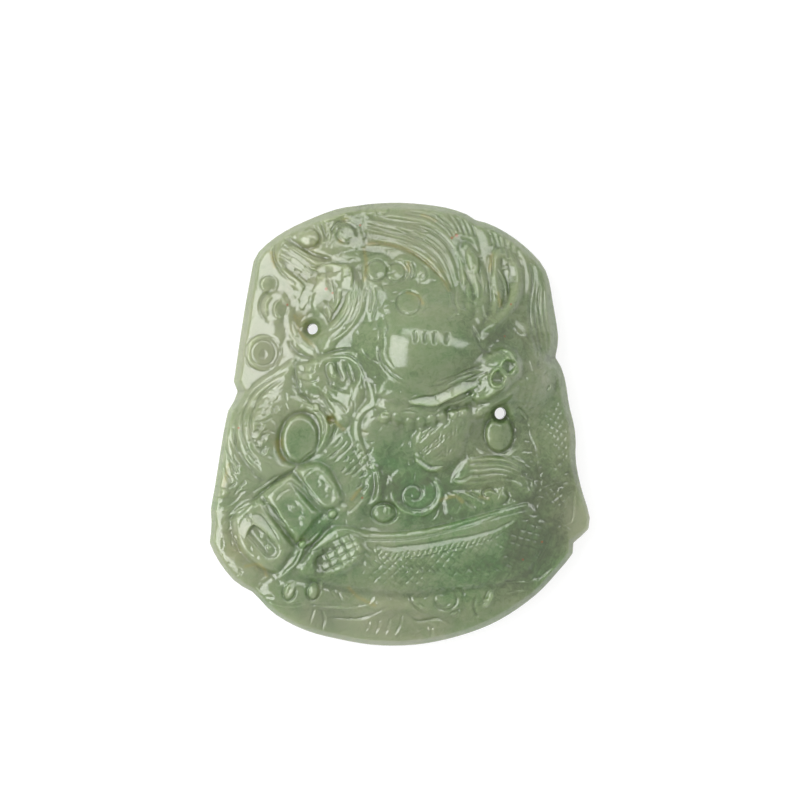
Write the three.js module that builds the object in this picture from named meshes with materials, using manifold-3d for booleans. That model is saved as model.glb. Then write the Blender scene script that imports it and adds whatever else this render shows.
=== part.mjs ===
// A carved jade plaque: a dragon in high relief over clouds and waves, on a flat-backed slab of one stone.
// Millimetres, +Z up. The plaque lies on its flat back, its relief faces +Z and its top edge faces +Y.
// The origin is the centre of the plaque's footprint, on the back face.
//
// The stone is one piece. Here it is divided where the carver's grooves divide it, so that each carved
// element is a solid of its own, standing on the slab with a groove of GROOVE between it and the next.

import * as THREE from 'three';
import { mergeVertices } from 'three/addons/utils/BufferGeometryUtils.js';
import Module from 'manifold-3d';

const wasm = await Module();
wasm.setup();

// ---- Driving dimensions ----

const HEIGHT = 56; // bottom edge to top edge of the plaque, along Y
const THICKNESS = 14; // back face to the top of the brow
const SLAB = 4; // thickness of the slab that carries the relief
const GROOVE = 0.3; // width of the groove between neighbouring elements
const RIM_ROUND = 0.4; // rounding of the slab's rim
const EDGE_ROUND = 0.25; // easing of an element's upper edge
const STEP = 1.4; // spacing of the corners that follow a curved outline

const PLAN_HEIGHT = 56; // the height that the plan coordinates below are drawn at
const UNIT = HEIGHT / PLAN_HEIGHT; // millimetres per plan unit

// Heights of the relief above the back face, from the lowest layer to the highest.
const LEVEL = {
  rim: 5.5,
  cloud: 6.4,
  fringe: 7.4,
  mane: 8.6,
  coil: 9.8,
  body: 11,
  crest: 12.2,
  brow: THICKNESS,
};

const HOLES = [
  { x: -11.2, y: 12, radius: 0.7 }, // under the upper left loop
  { x: 12.35, y: 1.4, radius: 0.75 }, // above the right pearl
];

// ---- Materials ----

const jade = (colour) => new THREE.MeshStandardMaterial({ color: colour, roughness: 0.12, metalness: 0 });
const PALE = jade(0xa9b39a); // greyish ground and rims
const SAGE = jade(0x93a58a); // mane, head and clouds
const GREEN = jade(0x7d9f78); // the greener lower body

// ---- Outlines, in the plane of the back face ----

const place = ([x, y]) => new THREE.Vector3(x * UNIT, y * UNIT, 0);
const flat = (point) => new THREE.Vector2(point.x, point.y);

// A closed smooth outline through plan points.
function smooth(points) {
  const curve = new THREE.CatmullRomCurve3(points.map(place), true, 'centripetal');
  const steps = Math.round(curve.getLength() / STEP);
  return curve.getSpacedPoints(steps).slice(0, steps).map(flat);
}

// A closed ellipse, turned by an angle in degrees.
function oval(x, y, radiusX, radiusY = radiusX, turn = 0) {
  const angle = THREE.MathUtils.degToRad(turn);
  const { x: centreX, y: centreY } = place([x, y]);
  const curve = new THREE.EllipseCurve(
    centreX, centreY, radiusX * UNIT, radiusY * UNIT, 0, 2 * Math.PI, false, angle,
  );
  const steps = Math.max(12, Math.round(curve.getLength() / STEP));
  return curve.getPoints(steps).slice(0, steps);
}

// A band along an open path, pointed at both ends, with half its width at the start, middle and end.
function ribbon(points, start, middle, end) {
  const path = new THREE.CatmullRomCurve3(points.map(place));
  const steps = Math.round(path.getLength() / STEP);
  const halfWidth = (t) => THREE.MathUtils.lerp(t < 0.5 ? start : end, middle, Math.sin(Math.PI * t));

  const offsetPoint = (t, ahead, left) => {
    const tangent = path.getTangentAt(t);
    const reach = halfWidth(t) * UNIT;
    const point = path.getPointAt(t).addScaledVector(tangent, ahead * reach);
    return new THREE.Vector2(point.x - left * reach * tangent.y, point.y + left * reach * tangent.x);
  };
  const side = (left) => Array.from({ length: steps + 1 }, (_, i) => offsetPoint(i / steps, 0, left));
  return [...side(-1), offsetPoint(1, 1, 0), ...side(1).reverse(), offsetPoint(0, -1, 0)];
}

// ---- Solids ----

// A closed geometry as a solid. Only its positions are kept, so that shared corners merge.
function solidOf(geometry) {
  geometry.deleteAttribute('normal');
  geometry.deleteAttribute('uv');
  const merged = mergeVertices(geometry, 1e-5);
  return new wasm.Manifold(new wasm.Mesh({
    numProp: 3,
    vertProperties: new Float32Array(merged.attributes.position.array),
    triVerts: new Uint32Array(merged.index.array),
  }));
}

function geometryOf(solid) {
  const { vertProperties, triVerts } = solid.getMesh();
  const geometry = new THREE.BufferGeometry();
  geometry.setAttribute('position', new THREE.BufferAttribute(vertProperties, 3));
  geometry.setIndex(new THREE.BufferAttribute(triVerts, 1));
  geometry.computeVertexNormals();
  return geometry;
}

// A prism over an outline. round eases its lower and upper edges inwards, and grow widens it all round.
function prism(outline, bottom, top, { round = 0, grow = 0, segments = 1 } = {}) {
  const extrusion = new THREE.ExtrudeGeometry(new THREE.Shape(outline), {
    depth: top - bottom - 2 * round,
    bevelEnabled: round + grow > 0,
    bevelThickness: round,
    bevelSize: round,
    bevelOffset: grow - round,
    bevelSegments: segments,
  });
  return solidOf(extrusion.translate(0, 0, bottom + round));
}

// The slab under the relief, with the two holes that pierce the stone.
function slab(outline) {
  const past = 1; // how far a cutter runs past both faces
  return HOLES.reduce(
    (solid, { x, y, radius }) => solid.subtract(prism(oval(x, y, radius), -past, SLAB + past)),
    prism(outline, 0, SLAB, { round: RIM_ROUND, segments: 2 }),
  );
}

// An element stands on the slab: it is made to reach below, and cut flush with the slab's top.
function standing({ outline, top, round }) {
  const size = 2 * HEIGHT;
  const below = new THREE.BoxGeometry(size, size, size).translate(0, 0, SLAB - size / 2);
  const segments = round > 2 * EDGE_ROUND ? 3 : 1;
  return prism(outline, SLAB - 2 * round, top, { round, segments }).subtract(solidOf(below));
}

// ---- The plan ----

const STONE_OUTLINE = [
  // top edge, from the left corner to the notch above the mane
  [-18.7, 20.6], [-18.2, 21.6], [-17, 22.8], [-15, 24.25], [-12, 25.75], [-8, 27.25], [-5, 27.7], [-4, 27.85],
  [0, 28], [5, 27.5], [7, 27], [8.3, 26.5], [9, 25.9], [10, 25.7], [12, 24.9], [14, 23.7], [16, 22.1], [17.9, 20],
  // right edge, with the notch below the mane and the tab beside the tail
  [18.6, 18.3], [19.1, 15.5], [19.8, 11], [19.7, 9.8], [19.4, 8.6], [20.1, 7.4], [20.7, 5.5], [21.2, 2.2],
  [21.5, 1.2], [22, -1.5], [22, -4.5], [22.8, -8.4], [23.4, -10.2], [23.8, -12], [23.7, -13], [23, -14],
  [21.9, -14.4], [21.7, -15], [21.7, -16.1],
  // bottom edge
  [20, -18.3], [17, -21.5], [12, -24.9], [7, -26.8], [2, -27.8], [-3, -27.9], [-8, -27.1], [-12, -25.8],
  [-16, -23.6], [-17.8, -21.8], [-19, -20.65], [-20.4, -20], [-22.6, -17.5], [-24, -14.8],
  // left edge, with its two notches
  [-24.1, -13.9], [-23.7, -13.1], [-23.9, -11], [-23.4, -8], [-22.1, 0], [-21.6, 2.3], [-20.9, 3.2], [-20.6, 3.8],
  [-21.2, 5.2], [-21.1, 6], [-19.9, 14], [-18.9, 19.6],
];

// Every carved element. Where two overlap in plan, the later one is cut out of the earlier one.
const elements = [];

function carve(name, outline, top, stone, round = EDGE_ROUND) {
  elements.push({ name, outline, top, stone, round });
}

function carveBorders() {
  carve('bottom_waves', smooth([
    [-17.2, -21.2], [-16.4, -19.2], [-14.8, -19.4], [-12.2, -19.9], [-8, -21], [-2, -21.8], [3, -21.8],
    [7, -21.3], [7.3, -23.2], [4, -23.9], [0, -23.2], [-4, -24], [-8, -23.1], [-12, -22.8], [-15.4, -22.7],
  ]), LEVEL.rim, PALE);
  carve('rim_cloud', smooth([
    [8.2, -21], [12, -20.8], [15.6, -20.9], [14.5, -22.4], [11.5, -24], [9.2, -24.6], [8.3, -23],
  ]), LEVEL.rim, PALE);
  carve('rim_knob', oval(-10.9, -24.4, 1, 1.3), LEVEL.rim, PALE);
  carve('rim_pearl', oval(4.7, -25.4, 1.2), LEVEL.rim, PALE);
  carve('side_tab', smooth([
    [20.9, -11.9], [21.9, -10.9], [22.4, -9.3], [23, -10.6], [23.4, -12], [23.2, -13.1], [22.4, -13.8],
    [21.5, -13.6],
  ]), LEVEL.rim, PALE);
  carve('corner_cloud_upper', smooth([
    [-23.3, -10.2], [-22, -10.3], [-21.5, -11.6], [-21.5, -13], [-22.5, -13.1], [-23.2, -12.5], [-23.5, -11.2],
  ]), LEVEL.cloud, PALE);
  carve('corner_cloud_lower', smooth([
    [-23.4, -13.9], [-21.4, -13.7], [-20.8, -15], [-19.4, -16.7], [-17.6, -18.2], [-18.6, -20], [-20.3, -19.3],
    [-21.8, -17.7], [-23.1, -15.7],
  ]), LEVEL.cloud, PALE);
}

function carveUpperLeftClouds() {
  carve('small_knob', oval(-17, 17.5, 1.15), LEVEL.cloud, PALE);
  carve('round_disc', oval(-17.35, 9, 2.3, 2.4), LEVEL.cloud, PALE, 0.6);
  carve('corner_curl', smooth([
    [-18, 14.8], [-17.2, 16.2], [-15.6, 16.7], [-14.3, 16], [-14.3, 14.6], [-14.7, 13.3], [-16, 12.7],
    [-17.5, 13.3],
  ]), LEVEL.cloud, PALE);
  carve('top_left_cloud', smooth([
    [-13.6, 24.2], [-12, 25.1], [-10, 26], [-7, 26.9], [-5.3, 27], [-4.9, 25], [-4.7, 22.5], [-5.1, 20.7],
    [-7, 20.6], [-9, 21], [-11, 21.8], [-13, 23],
  ]), LEVEL.fringe, SAGE);
}

function carveMane() {
  carve('mane_right', smooth([
    [9.6, 25.2], [11.5, 24.5], [13.7, 23.2], [15.8, 21.5], [17.3, 19.7], [18.1, 17.9], [18.6, 15], [19.2, 11],
    [18.9, 8.9], [17.5, 7.4], [16, 8], [15.5, 10], [14.5, 12], [12.5, 14], [11, 17], [10, 20], [9.7, 23],
  ]), LEVEL.mane, SAGE);
  carve('mane_top', smooth([
    [-4.9, 27.1], [-2, 27.4], [2, 27.4], [5, 26.9], [7, 26.4], [8.5, 25.7], [9.3, 24.2], [9.6, 22.5], [10, 20],
    [10, 17.5], [9.7, 15], [9, 13.2], [7.2, 13.5], [6.6, 14.4], [6.2, 16], [5.2, 18.3], [3.5, 20.3],
    [1.5, 21.8], [-1.5, 22.9], [-4.3, 23.6], [-4.8, 25.2],
  ]), LEVEL.coil, SAGE);
  carve('mane_left', smooth([
    [-15.8, 21.6], [-15.2, 23.2], [-13.5, 22.9], [-11, 21.4], [-8.9, 20.5], [-8.5, 19.6], [-9.6, 18.2],
    [-10.6, 17], [-11.9, 16.4], [-13.2, 17], [-14.7, 18.4], [-15.7, 19.9],
  ]), LEVEL.mane, SAGE);
}

function carveCrownRecess() {
  const pearls = [[-2.8, 19.9, 1.3], [0.3, 19.6, 1.4], [2.9, 18.8, 1.1], [1.2, 15.2, 1.8], [-2.1, 13.9, 1.2]];
  pearls.forEach(([x, y, radius], i) => {
    carve(`crown_pearl_${i + 1}`, oval(x, y, radius), LEVEL.cloud, SAGE);
  });
  carve('temple_band', ribbon(
    [[-4.2, 19.6], [-3.6, 18], [-3.3, 15.8], [-3.8, 13], [-3.9, 10.4]], 0.5, 0.65, 0.5,
  ), LEVEL.mane, SAGE);
}

function carveLeftSide() {
  carve('left_fringe', smooth([
    [-21.4, 1.6], [-20.9, 1.8], [-20.9, -1.2], [-20.3, -3.6], [-19, -5.6], [-17.6, -7], [-18.5, -8],
    [-20.2, -8.4], [-21.6, -9.3], [-22.8, -9.4], [-22.9, -7.5], [-22.3, -4], [-21.8, -0.5],
  ]), LEVEL.fringe, SAGE);
  carve('left_coil', smooth([
    [-13.6, 8.1], [-15.6, 6.7], [-18, 5.4], [-19.5, 3.6], [-20.5, 1.2], [-20.6, -1.2], [-20, -3.4],
    [-18.7, -5.3], [-17, -6.7], [-15, -6.2], [-12.5, -5], [-10.5, -3.4], [-9, -1.5], [-8.6, 0.4], [-9.4, 2.2],
    [-11.2, 3.3], [-12.7, 4.6], [-13.3, 6.3],
  ]), LEVEL.coil, SAGE);
  carve('left_pearl', oval(-12.7, -1.6, 2.3, 3.2, -12), LEVEL.mane, SAGE, 0.9);
  carve('claw', smooth([
    [-13, 7.5], [-11.2, 7.9], [-8, 8.8], [-6, 8.5], [-5, 7], [-4.6, 5.4], [-4.8, 3.5], [-5.6, 1.8], [-6.6, 0.3],
    [-7.6, -0.4], [-8.7, 0.6], [-9.6, 2.2], [-11.4, 3.2], [-12.8, 4.6], [-13.3, 6],
  ]), LEVEL.mane, SAGE);
  carve('upper_loop', ribbon([
    [-9.8, 18.8], [-8.2, 19], [-6.8, 18.2], [-5.9, 16.3], [-6.1, 14.3], [-7.3, 12.4], [-8.8, 11], [-9.5, 9.8],
  ], 0.9, 1.15, 0.8), LEVEL.coil, SAGE);
  carve('left_tendril', ribbon([
    [-14.2, 14.3], [-14, 12.8], [-13.3, 11.1], [-12.2, 9.8], [-11.2, 8.9],
  ], 0.4, 0.6, 0.4), LEVEL.fringe, SAGE);
}

function carveRightSide() {
  carve('right_coil', smooth([
    [14.8, 5.4], [16.3, 6.6], [18.2, 7.2], [19.4, 6.4], [20.2, 4], [20.9, 1], [21.3, -2], [21.4, -5], [21.3, -8],
    [20.6, -11], [19.3, -13], [17.6, -12.6], [17, -10], [17.5, -7.5], [17.2, -5], [16.6, -2.5], [15.9, 0.2],
    [14.8, 2.2], [13.7, 3.6],
  ]), LEVEL.coil, SAGE);
  carve('right_pearl', oval(12.1, -1.5, 1.9, 2), LEVEL.fringe, SAGE, 0.9);
  carve('wave_fin', smooth([
    [6.3, -7.2], [7.2, -5.2], [8.6, -4.1], [10.5, -3.8], [13, -4], [15.2, -4.8], [16.2, -6.2], [16.7, -8.2],
    [16, -9.4], [15.2, -8.4], [14, -7.3], [12, -7], [10, -7.6], [8.2, -7.7],
  ]), LEVEL.mane, SAGE);
  carve('tail_tuft', smooth([
    [19.8, -12.6], [21, -13.2], [21.1, -15], [20.7, -16.2], [19, -18.3], [17, -20], [15.6, -20.2], [16.8, -18.4],
    [18.7, -15.8],
  ]), LEVEL.fringe, SAGE);
}

function carveCentreClouds() {
  carve('cloud_swirl', oval(1.4, -8.5, 3.5, 3.3), LEVEL.fringe, GREEN);
  carve('cloud_knob', oval(-2.3, -10.9, 1.3, 1.2), LEVEL.cloud, GREEN);
  carve('cloud_curl', smooth([
    [5.6, -8.6], [7.5, -8.3], [9.5, -8.4], [11.5, -8], [13.3, -8.5], [13.2, -9.4], [10.5, -10.4], [7.5, -11.2],
    [5.9, -11.4], [5.2, -10],
  ]), LEVEL.cloud, GREEN);
}

function carveLowerBody() {
  carve('lower_body', smooth([
    [-8.2, -12.8], [-5, -13.1], [-1, -13.3], [2.5, -12.9], [6, -12.1], [9.5, -11.1], [13, -10.1], [15.8, -9.9],
    [17.8, -12.2], [18.6, -14], [18.2, -16], [16.4, -18.2], [14, -19.6], [10, -20.2], [6, -20.5], [1, -20.9],
    [-4, -20.7], [-8, -20.1], [-11.5, -19.1], [-13.2, -18.1], [-12, -16.6], [-10.4, -14.6],
  ]), LEVEL.body, GREEN);
  carve('feather_fan', smooth([
    [-10.4, -4.2], [-9.3, -2.8], [-7.8, -1.4], [-6.6, -0.9], [-6.1, -2.2], [-5.4, -4], [-4.9, -6], [-4.9, -8],
    [-5.9, -9.2], [-7, -9.2], [-7.7, -7.3], [-8.6, -5.4],
  ]), LEVEL.coil, GREEN);
  carve('band_plate_1', smooth([
    [-21.2, -11.8], [-19.9, -10.2], [-18, -9.3], [-17, -9.6], [-15.6, -11.9], [-13.9, -14.2], [-13.3, -15.6],
    [-13.7, -16.9], [-14.9, -18.2], [-17, -18], [-19.4, -16.1], [-20.8, -13.8],
  ]), LEVEL.body, GREEN);
  carve('band_plate_2', smooth([
    [-17, -8.7], [-15.6, -7.5], [-13.9, -6.2], [-13.1, -6.6], [-11.5, -8.9], [-9.8, -10.8], [-9.6, -11.6],
    [-11, -13.6], [-12.6, -15], [-13.6, -13.7], [-15.2, -11.5], [-16.5, -9.8],
  ]), LEVEL.body, GREEN);
  carve('band_plate_3', smooth([
    [-13, -5.7], [-11.6, -5], [-9.6, -5], [-8.3, -7], [-7.5, -9.2], [-8.8, -10.6], [-9.9, -10.1], [-11.3, -8.2],
    [-12.6, -6.4],
  ]), LEVEL.body, GREEN);
  carve('beaded_cord', ribbon([
    [-15.2, -19], [-13.6, -17.2], [-12.2, -15], [-10.5, -12.9], [-8.7, -11.1], [-7.2, -10.4],
  ], 0.4, 0.6, 0.4), LEVEL.crest, GREEN);
}

function carveHead() {
  carve('cheek_tuft', smooth([
    [-4.4, 1.2], [-3, 2.2], [-1.8, 1.2], [-0.8, 0], [-0.6, -1.4], [-1.6, -3.2], [-2.6, -5.2], [-3.3, -6],
    [-3.9, -4.6], [-4.7, -2.4], [-5, -0.4],
  ]), LEVEL.mane, SAGE);
  carve('tongue', smooth([
    [6, 1], [7.8, 2.2], [8.9, 1.6], [8.6, 0.2], [8, -1.8], [7.3, -3.8], [5.8, -5.5], [4.3, -6], [2.6, -5.4],
    [1.6, -3.8], [1.4, -2], [2.2, -0.6], [4.2, -0.4],
  ]), LEVEL.body, SAGE);
  carve('lip_fold', ribbon([[9.3, 1.4], [11, 2.7], [13, 4.1], [14.1, 5.2]], 0.5, 0.8, 0.5), LEVEL.body, SAGE);
  carve('upper_teeth', smooth([
    [-3.4, 2.4], [-2, 3.2], [1, 2.6], [4.5, 2.9], [5.7, 2], [5, 0.9], [3.6, 0.2], [2.2, 0.1], [0.8, 0.2],
    [-0.7, 0.4], [-2.2, 1.1],
  ]), LEVEL.body, SAGE);
  carve('snout', smooth([
    [-3.1, 3.8], [-2.4, 5.6], [-0.6, 6], [2, 5.4], [5, 5.8], [8.5, 7.4], [10.5, 8.7], [12.5, 9.6], [14.3, 8.7],
    [14.8, 6.8], [13.8, 5.1], [11.6, 3.6], [9.4, 2.6], [7, 2.7], [4.8, 2.9], [1, 2.6], [-1.6, 3.1],
  ]), LEVEL.crest, SAGE);
  carve('ear', smooth([
    [11.8, 22.1], [13.4, 22], [14.7, 20.7], [15.2, 18.5], [14.9, 16.2], [13.9, 14.4], [12.3, 12.9], [10.8, 11.5],
    [10, 11.6], [10.6, 13.2], [11.3, 15.5], [11.1, 18], [11, 20.3],
  ]), LEVEL.crest, SAGE);
  carve('horn', ribbon(
    [[8, 22.3], [8.9, 20.5], [9.6, 18], [9.9, 15.5], [9.7, 13.2]], 0.6, 0.95, 0.7,
  ), LEVEL.crest, SAGE);
  carve('brow_dome', smooth([
    [-2.2, 9.5], [-1.6, 11.7], [0.5, 12.9], [4, 13.2], [7.2, 12.9], [9, 11.6], [9.4, 9.8], [8, 7.9], [5, 6.4],
    [2, 6], [-0.6, 6.9], [-1.9, 8.2],
  ]), LEVEL.brow, SAGE, 1.6);
  carve('long_whisker', ribbon([
    [-4.3, 5.3], [-3.7, 4.2], [-3.8, 2.6], [-5.1, 1.5], [-5.7, 0], [-5.5, -2], [-4.7, -4.4], [-4, -6.4],
    [-4, -8], [-4.9, -9.6], [-6.2, -10.9],
  ], 0.3, 0.45, 0.3), LEVEL.body, SAGE);
}

// ---- Assembly ----

function near(outline, other) {
  const box = (points) => new THREE.Box2().setFromPoints(points);
  return box(outline).expandByScalar(GROOVE).intersectsBox(box(other));
}

// A cut can leave a sliver beyond the cutting element. The stone has none, so the largest body is kept.
function largestBody(solid) {
  return solid.decompose().reduce((kept, body) => (body.volume() > kept.volume() ? body : kept));
}

function meshOf(name, solid, stone) {
  const mesh = new THREE.Mesh(geometryOf(solid), stone);
  mesh.name = name;
  return mesh;
}

function buildPlaque() {
  carveBorders();
  carveUpperLeftClouds();
  carveMane();
  carveCrownRecess();
  carveLeftSide();
  carveRightSide();
  carveCentreClouds();
  carveLowerBody();
  carveHead();

  const outline = smooth(STONE_OUTLINE);
  const plaque = new THREE.Group();
  plaque.add(meshOf('plaque_ground', slab(outline), PALE));
  elements.forEach((element, layer) => {
    const above = elements.slice(layer + 1).filter((other) => near(element.outline, other.outline));
    const solid = above.reduce(
      (rest, other) => rest.subtract(prism(other.outline, 0, 2 * THICKNESS, { grow: GROOVE })),
      standing(element),
    );
    plaque.add(meshOf(element.name, largestBody(solid), element.stone));
  });

  // The origin sits at the centre of the footprint.
  const centre = new THREE.Box2().setFromPoints(outline).getCenter(new THREE.Vector2());
  plaque.position.set(-centre.x, -centre.y, 0);
  return new THREE.Group().add(plaque);
}

export default buildPlaque();
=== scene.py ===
"""A carved jade plaque: a dragon in relief among clouds, lying on its flat back on a pale floor.

The real stone is one seamless piece, so it is one closed mesh here, which stands for all the regions of the
CAD model. Its carved top is a height field over the plan, in millimetres. The outline and the borders of the
carved elements are read from the CAD nodes; the drilled holes are listed in HOLES.
Plan coordinates have +X to the right and +Y to the top of the design. Heights are above the flat back.
"""

import math

import bpy
import numpy as np
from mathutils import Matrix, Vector
from mathutils.geometry import tessellate_polygon


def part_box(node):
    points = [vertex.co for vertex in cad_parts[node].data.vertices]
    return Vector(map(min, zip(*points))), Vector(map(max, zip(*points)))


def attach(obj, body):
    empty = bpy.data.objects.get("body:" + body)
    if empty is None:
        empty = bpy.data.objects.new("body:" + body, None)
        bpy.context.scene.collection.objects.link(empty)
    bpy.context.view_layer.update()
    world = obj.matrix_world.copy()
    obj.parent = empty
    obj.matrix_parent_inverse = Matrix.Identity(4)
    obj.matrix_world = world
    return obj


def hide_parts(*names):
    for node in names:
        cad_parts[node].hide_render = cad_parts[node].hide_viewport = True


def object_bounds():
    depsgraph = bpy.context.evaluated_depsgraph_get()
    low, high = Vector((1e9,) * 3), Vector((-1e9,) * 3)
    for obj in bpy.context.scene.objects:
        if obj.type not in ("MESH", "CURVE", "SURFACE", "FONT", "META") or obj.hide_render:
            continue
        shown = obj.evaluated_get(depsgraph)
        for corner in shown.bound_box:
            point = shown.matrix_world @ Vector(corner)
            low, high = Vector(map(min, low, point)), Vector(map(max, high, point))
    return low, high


MM = 0.001

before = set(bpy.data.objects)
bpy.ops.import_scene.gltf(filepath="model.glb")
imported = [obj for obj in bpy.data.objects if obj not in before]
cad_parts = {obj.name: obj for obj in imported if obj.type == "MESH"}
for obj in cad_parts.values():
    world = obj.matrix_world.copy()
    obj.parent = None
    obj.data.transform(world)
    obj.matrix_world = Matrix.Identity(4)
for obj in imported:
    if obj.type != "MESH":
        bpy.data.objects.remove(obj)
cad_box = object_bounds()

# ---- Driving dimensions, in millimetres ----

CELL = 0.1  # spacing of the height field
MARGIN = 0.6  # empty border of the field round the plaque
CAD_ROUND = 0.4  # the CAD slab's lower edge is this far inside its outline
HALF_GROOVE = 0.15  # neighbouring elements meet this far outside their CAD footprints
LOWEST = 2.5  # no groove is cut below this height
TOOL_MARKS = 1100  # how many fine marks the carver's tools left
GROUND_DEPTH_SHARE = 0.8  # share of its nominal depth that the ground is cut to
RELIEF = 0.65  # share of the nominal height that each element stands out of the ground
BORDER_SPREAD = 1.25  # how much wider than nominal the rounded borders are
WORN_RIM = 3.2  # the relief is worn soft this close to the rim
CUT = 0.9  # share of the nominal depth that the grooves are cut to
FACET_EDGE = 0.08  # rounding of the polished facets' sides
CHAMFER_FOOT = 3.5  # height of the bevelled rim at the outline
CHAMFER_SLOPE = 2.0  # steepness of the bevel
CHAMFER_SOFTNESS = 0.25  # rounding where the bevel meets the relief
BACK_ROUND = 0.5  # rounding of the plaque's lower rim
TOP = cad_box[1].z / MM  # the highest point of the relief
BROW_TOP = TOP - 0.5  # the top of the polished brow
BROW_CENTRE = (2.4, 9.05)  # where the brow is highest
BROW_SOFTNESS = 1.3  # how softly the brow grows out of the head
RIM_HEIGHT = 4.8  # the dome's height where it meets the rim
DOME_RISE = 5.2  # how far the dome rises from the rim to the middle
LEFT_SHOULDER = 3.2  # how much higher the rim is at the lower left, where the dome is flatter
HEAD_RISE = 2.4  # how far the surface rises further under the head
DOME_REACH = 22.0  # distance from the rim over which it rises
HEAD = (4.0, 8.0, 15.0)  # the raised head: x, y, radius
HOLES = [(-11.2, 12.0, 0.7), (12.35, 1.4, 0.75)]  # the drilled holes: x, y, radius
DISC_CENTRE = (-17.35, 9.0)  # plan centre of the round disc at the upper left

# Slopes that mirror a light into a camera straight above, as the rise to the right and the rise upwards.
KEY_SLOPE = 0.36  # the key light, on the left: the rise to the right that mirrors its middle
KEY_REACH = (0.14, 0.28)  # and how far each of the two slopes may be from it
STRIP_SLOPE = 0.385  # the strip light, at the top: the fall upwards that mirrors its middle
STRIP_TURN = 0.32  # and how much more it has to fall for each unit of rise to the right
STRIP_MIDDLE = -0.12  # the rise to the right that mirrors the strip light's middle
STRIP_REACH = (0.43, 0.065)  # and how far each slope may be from that
FLAT_PREFERENCE = 0.3  # of two tilts, the flatter one is taken unless the other is better by this much

GROUND = "plaque_ground"
NODES = sorted(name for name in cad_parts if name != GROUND)


# ---- The grid ----


def plan_shift():
    """From plan coordinates to the frame, read from a disc whose plan centre is known."""
    low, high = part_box("round_disc")
    return np.array([(low.x + high.x) / 2 / MM, (low.y + high.y) / 2 / MM]) - DISC_CENTRE


SHIFT = plan_shift()
low, high = (np.array(corner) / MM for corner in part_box(GROUND))
xs = np.arange(low[0] - SHIFT[0] - MARGIN, high[0] - SHIFT[0] + MARGIN + CELL, CELL)
ys = np.arange(low[1] - SHIFT[1] - MARGIN, high[1] - SHIFT[1] + MARGIN + CELL, CELL)
X, Y = np.meshgrid(xs, ys)
H = np.zeros_like(X)


def window(points, reach):
    """The part of the grid within reach of some points."""
    low, high = np.min(points, axis=0) - reach, np.max(points, axis=0) + reach
    cols = slice(max(0, int((low[0] - xs[0]) / CELL)), max(0, int((high[0] - xs[0]) / CELL) + 2))
    rows = slice(max(0, int((low[1] - ys[0]) / CELL)), max(0, int((high[1] - ys[0]) / CELL) + 2))
    return rows, cols


def cell(x, y):
    """The grid row and column nearest to a plan point, or to each of several points."""
    return np.round((y - ys[0]) / CELL).astype(int), np.round((x - xs[0]) / CELL).astype(int)


def turned(x, y, turn):
    """Each grid point's distances from a centre, along and across a direction given in degrees."""
    cos, sin = math.cos(math.radians(turn)), math.sin(math.radians(turn))
    return (X - x) * cos + (Y - y) * sin, (Y - y) * cos - (X - x) * sin


def smooth(share):
    """A share from 0 to 1, eased at both ends."""
    return share ** 2 * (3 - 2 * share)


def soft_higher(a, b, softness):
    """The higher of two surfaces, with the crease between them rounded."""
    return 0.5 * (a + b + np.sqrt((a - b) ** 2 + softness ** 2))


def scatter(i, step=0.618):
    """A number from 0 to 1 for each i, evenly scattered. Other steps give other numbers."""
    return (i * step) % 1


def blur(field, sigma):
    """Gaussian blur of a field, sigma in millimetres."""
    cells = sigma / CELL
    reach = int(3 * cells) + 1
    kernel = np.exp(-0.5 * (np.arange(-reach, reach + 1) / cells) ** 2)
    kernel /= kernel.sum()
    padded = np.pad(field, reach, mode="edge")
    rows = sum(k * padded[:, i:i + field.shape[1]] for i, k in enumerate(kernel))
    return sum(k * rows[i:i + field.shape[0]] for i, k in enumerate(kernel))


def shepard(points):
    """A smooth field through values given at plan points, each (x, y, value)."""
    total = np.zeros_like(X)
    weights = np.zeros_like(X)
    for x, y, value in points:
        weight = 1 / ((X - x) ** 2 + (Y - y) ** 2 + 1.0) ** 1.6
        total += weight * value
        weights += weight
    return total / weights


# ---- Curves ----


def curve(points, closed=False, steps=6):
    """A smooth curve through given points."""
    p = np.array(points, float)
    if len(p) == 2 and not closed:
        return p[0] + np.linspace(0, 1, steps + 1)[:, None] * (p[1] - p[0])
    padded = np.vstack([p[-1], p, p[:2]]) if closed else np.vstack([2 * p[0] - p[1], p, 2 * p[-1] - p[-2]])
    out = []
    for a, b, c, d in zip(padded, padded[1:], padded[2:], padded[3:]):
        for t in np.arange(steps) / steps:
            out.append(0.5 * (2 * b + (c - a) * t + (2 * a - 5 * b + 4 * c - d) * t ** 2
                              + (3 * b - a - 3 * c + d) * t ** 3))
    out.append(out[0] if closed else p[-1])
    return np.array(out)


def along(path, share):
    """The point at a share of a path's length."""
    lengths = np.append(0, np.cumsum(np.hypot(*np.diff(path, axis=0).T)))
    return np.array([np.interp(share * lengths[-1], lengths, path[:, i]) for i in (0, 1)])


def near(path, reach):
    """Round a path: the grid window, and each point's distance, place along the path and offset to its left.

    The last value is the path's length.
    """
    view = window(path, reach)
    x, y = X[view], Y[view]
    best = np.full(x.shape, np.inf)
    place = np.zeros(x.shape)
    side = np.zeros(x.shape)
    run = 0.0
    for (ax, ay), (bx, by) in zip(path, path[1:]):
        dx, dy = bx - ax, by - ay
        length = math.hypot(dx, dy)
        if length == 0:
            continue
        t = np.clip(((x - ax) * dx + (y - ay) * dy) / length ** 2, 0, 1)
        distance = np.hypot(x - ax - t * dx, y - ay - t * dy)
        closer = distance < best
        best = np.where(closer, distance, best)
        place = np.where(closer, run + t * length, place)
        side = np.where(closer, np.sign(dx * (y - ay) - dy * (x - ax)), side)
        run += length
    return view, best, place, side * best, run


# ---- The CAD elements' footprints ----


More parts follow.
